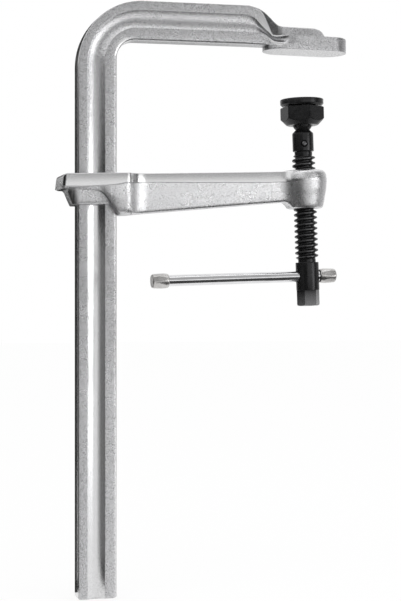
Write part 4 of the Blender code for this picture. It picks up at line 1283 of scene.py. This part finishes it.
disc_bottom, disc_top, disc_radius, disc_edge = 12.1, 17.0, 15.9, 0.8
under_chamfer, under_chamfer_height = 1.2, 1.3
spigot_radius, spigot_bottom = 10.0, 1.3
dimple_radius, dimple_depth = 3.0, 0.6
spigot_edge, spigot_root, under_edge, side_edge = 0.4, 0.2, 0.2, 0.3
dimple_edge, dimple_root = 0.6, 0.3
disc_columns, seat_arc_rows = 128, 15
seat_arc = [(seat_radius * math.cos(turn), seat_radius * math.sin(turn), None)
            for turn in np.linspace(math.pi / 2, math.asin(spigot_bottom / seat_radius),
                                    seat_arc_rows + 1)[1:]]
disc_outline = [(0.0, seat_radius, None)] + seat_arc + [
    (spigot_radius, spigot_bottom, spigot_edge), (spigot_radius, disc_bottom, spigot_root),
    (disc_radius - under_chamfer, disc_bottom, under_edge),
    (disc_radius, disc_bottom + under_chamfer_height, side_edge), (disc_radius, disc_top, disc_edge),
    (dimple_radius, disc_top, dimple_edge),
    (dimple_radius - dimple_depth, disc_top - dimple_depth, dimple_root),
    (0.0, disc_top - dimple_depth, None)]
cup = make_piece("hexagon_cup", [cup_grid()], black, on_pad)
stands_for(cup, "pad", "black_oxide", "ball_cup_nut")
disc_grid = turned_grid(smooth_profile(disc_outline), disc_columns)
disc = make_piece("pad_disc", [disc_grid], black, on_pad)
stands_for(disc, "pad", "black_oxide", "pressure_disc")

# %% [markdown]
# ## The tommy bar
#
# The bar is a polished rod, 8 mm thick, that slides in the screw's head until one of its knobs stops it. The
# knobs are barrels pressed on the rod and crimped: a die with six jaws flattened each of them towards its
# outer end, so the flats are wide there and run out to a point near the rod. The radius is once more the
# smaller of two, the barrel's and the distance to the nearest flat.

# %% Rod and knobs
rod_radius, rod_edge = 4.0, 0.5
head_gap, rod_showing = 0.3, 114.7
right_face = head_radius + head_gap
left_face = right_face - rod_showing
rod_in_knob, knob_play = 10.2, 0.3
knob_length = 12.4
inner_curve_end, outer_curve_start = 1.4, 11.2
# Along the knob from its inner face, and its radius there.
knob_line = np.array([[0.0, 4.3], [0.5, 4.85], [1.4, 5.1], [4.0, 5.38], [7.0, 5.4], [10.0, 5.2], [11.8, 4.95],
                      [12.4, 4.4]])
knob_columns = 96
crimp_flats = 6
crimp_turn = math.radians(12.0)
crimp_start, crimp_end, crimp_bow = 1.5, 12.5, 0.8
crimp_outer, crimp_depth = 5.42, 0.62


def knob_grid(face, outwards):
    """A knob on the rod, from its bore round its inner face and barrel to its flat outer end."""
    along = steps(0.0, (inner_curve_end, 7), (outer_curve_start, 39), (knob_length, 9))
    barrel = smooth_rows(knob_line, along)[0]
    bore, bore_end = rod_radius + knob_play, rod_in_knob + knob_play
    outline = np.concatenate([[[0.0, bore_end], [bore, bore_end], [bore, 0.0]],
                              np.column_stack([barrel, along]), [[0.0, knob_length]]])
    grid = turned_grid(outline, knob_columns, crimp_turn)
    turns = np.linspace(0.0, 2 * math.pi, knob_columns + 1)
    from_flat = np.mod(turns, 2 * math.pi / crimp_flats) - math.pi / crimp_flats
    flat = crimp_outer - crimp_depth * rise(grid[..., 2], crimp_start, crimp_end) ** crimp_bow
    outside = (np.hypot(grid[..., 0], grid[..., 1]) > bore + face_margin)[..., None]
    grid = np.where(outside, squeezed(grid, flat / np.cos(from_flat)), grid)
    grid[..., 2] = face + outwards * grid[..., 2]
    return grid


left_end, right_end = left_face - rod_in_knob, right_face + rod_in_knob
rod_outline = smooth_profile([(0.0, left_end, None), (rod_radius, left_end, rod_edge),
                              (rod_radius, right_end, rod_edge), (0.0, right_end, None)])
rod = make_piece("bar_rod", [turned_grid(rod_outline, round_columns)], polished, along_bar)
stands_for(rod, "tommy_bar", "polished_rod", "tommy_bar")
for side, face, outwards in (("left", left_face, -1.0), ("right", right_face, 1.0)):
    knob = make_piece("bar_knob_" + side, [knob_grid(face, outwards)], nickel, along_bar)
    stands_for(knob, "tommy_bar", "nickel_knob", "tommy_knob_" + side)
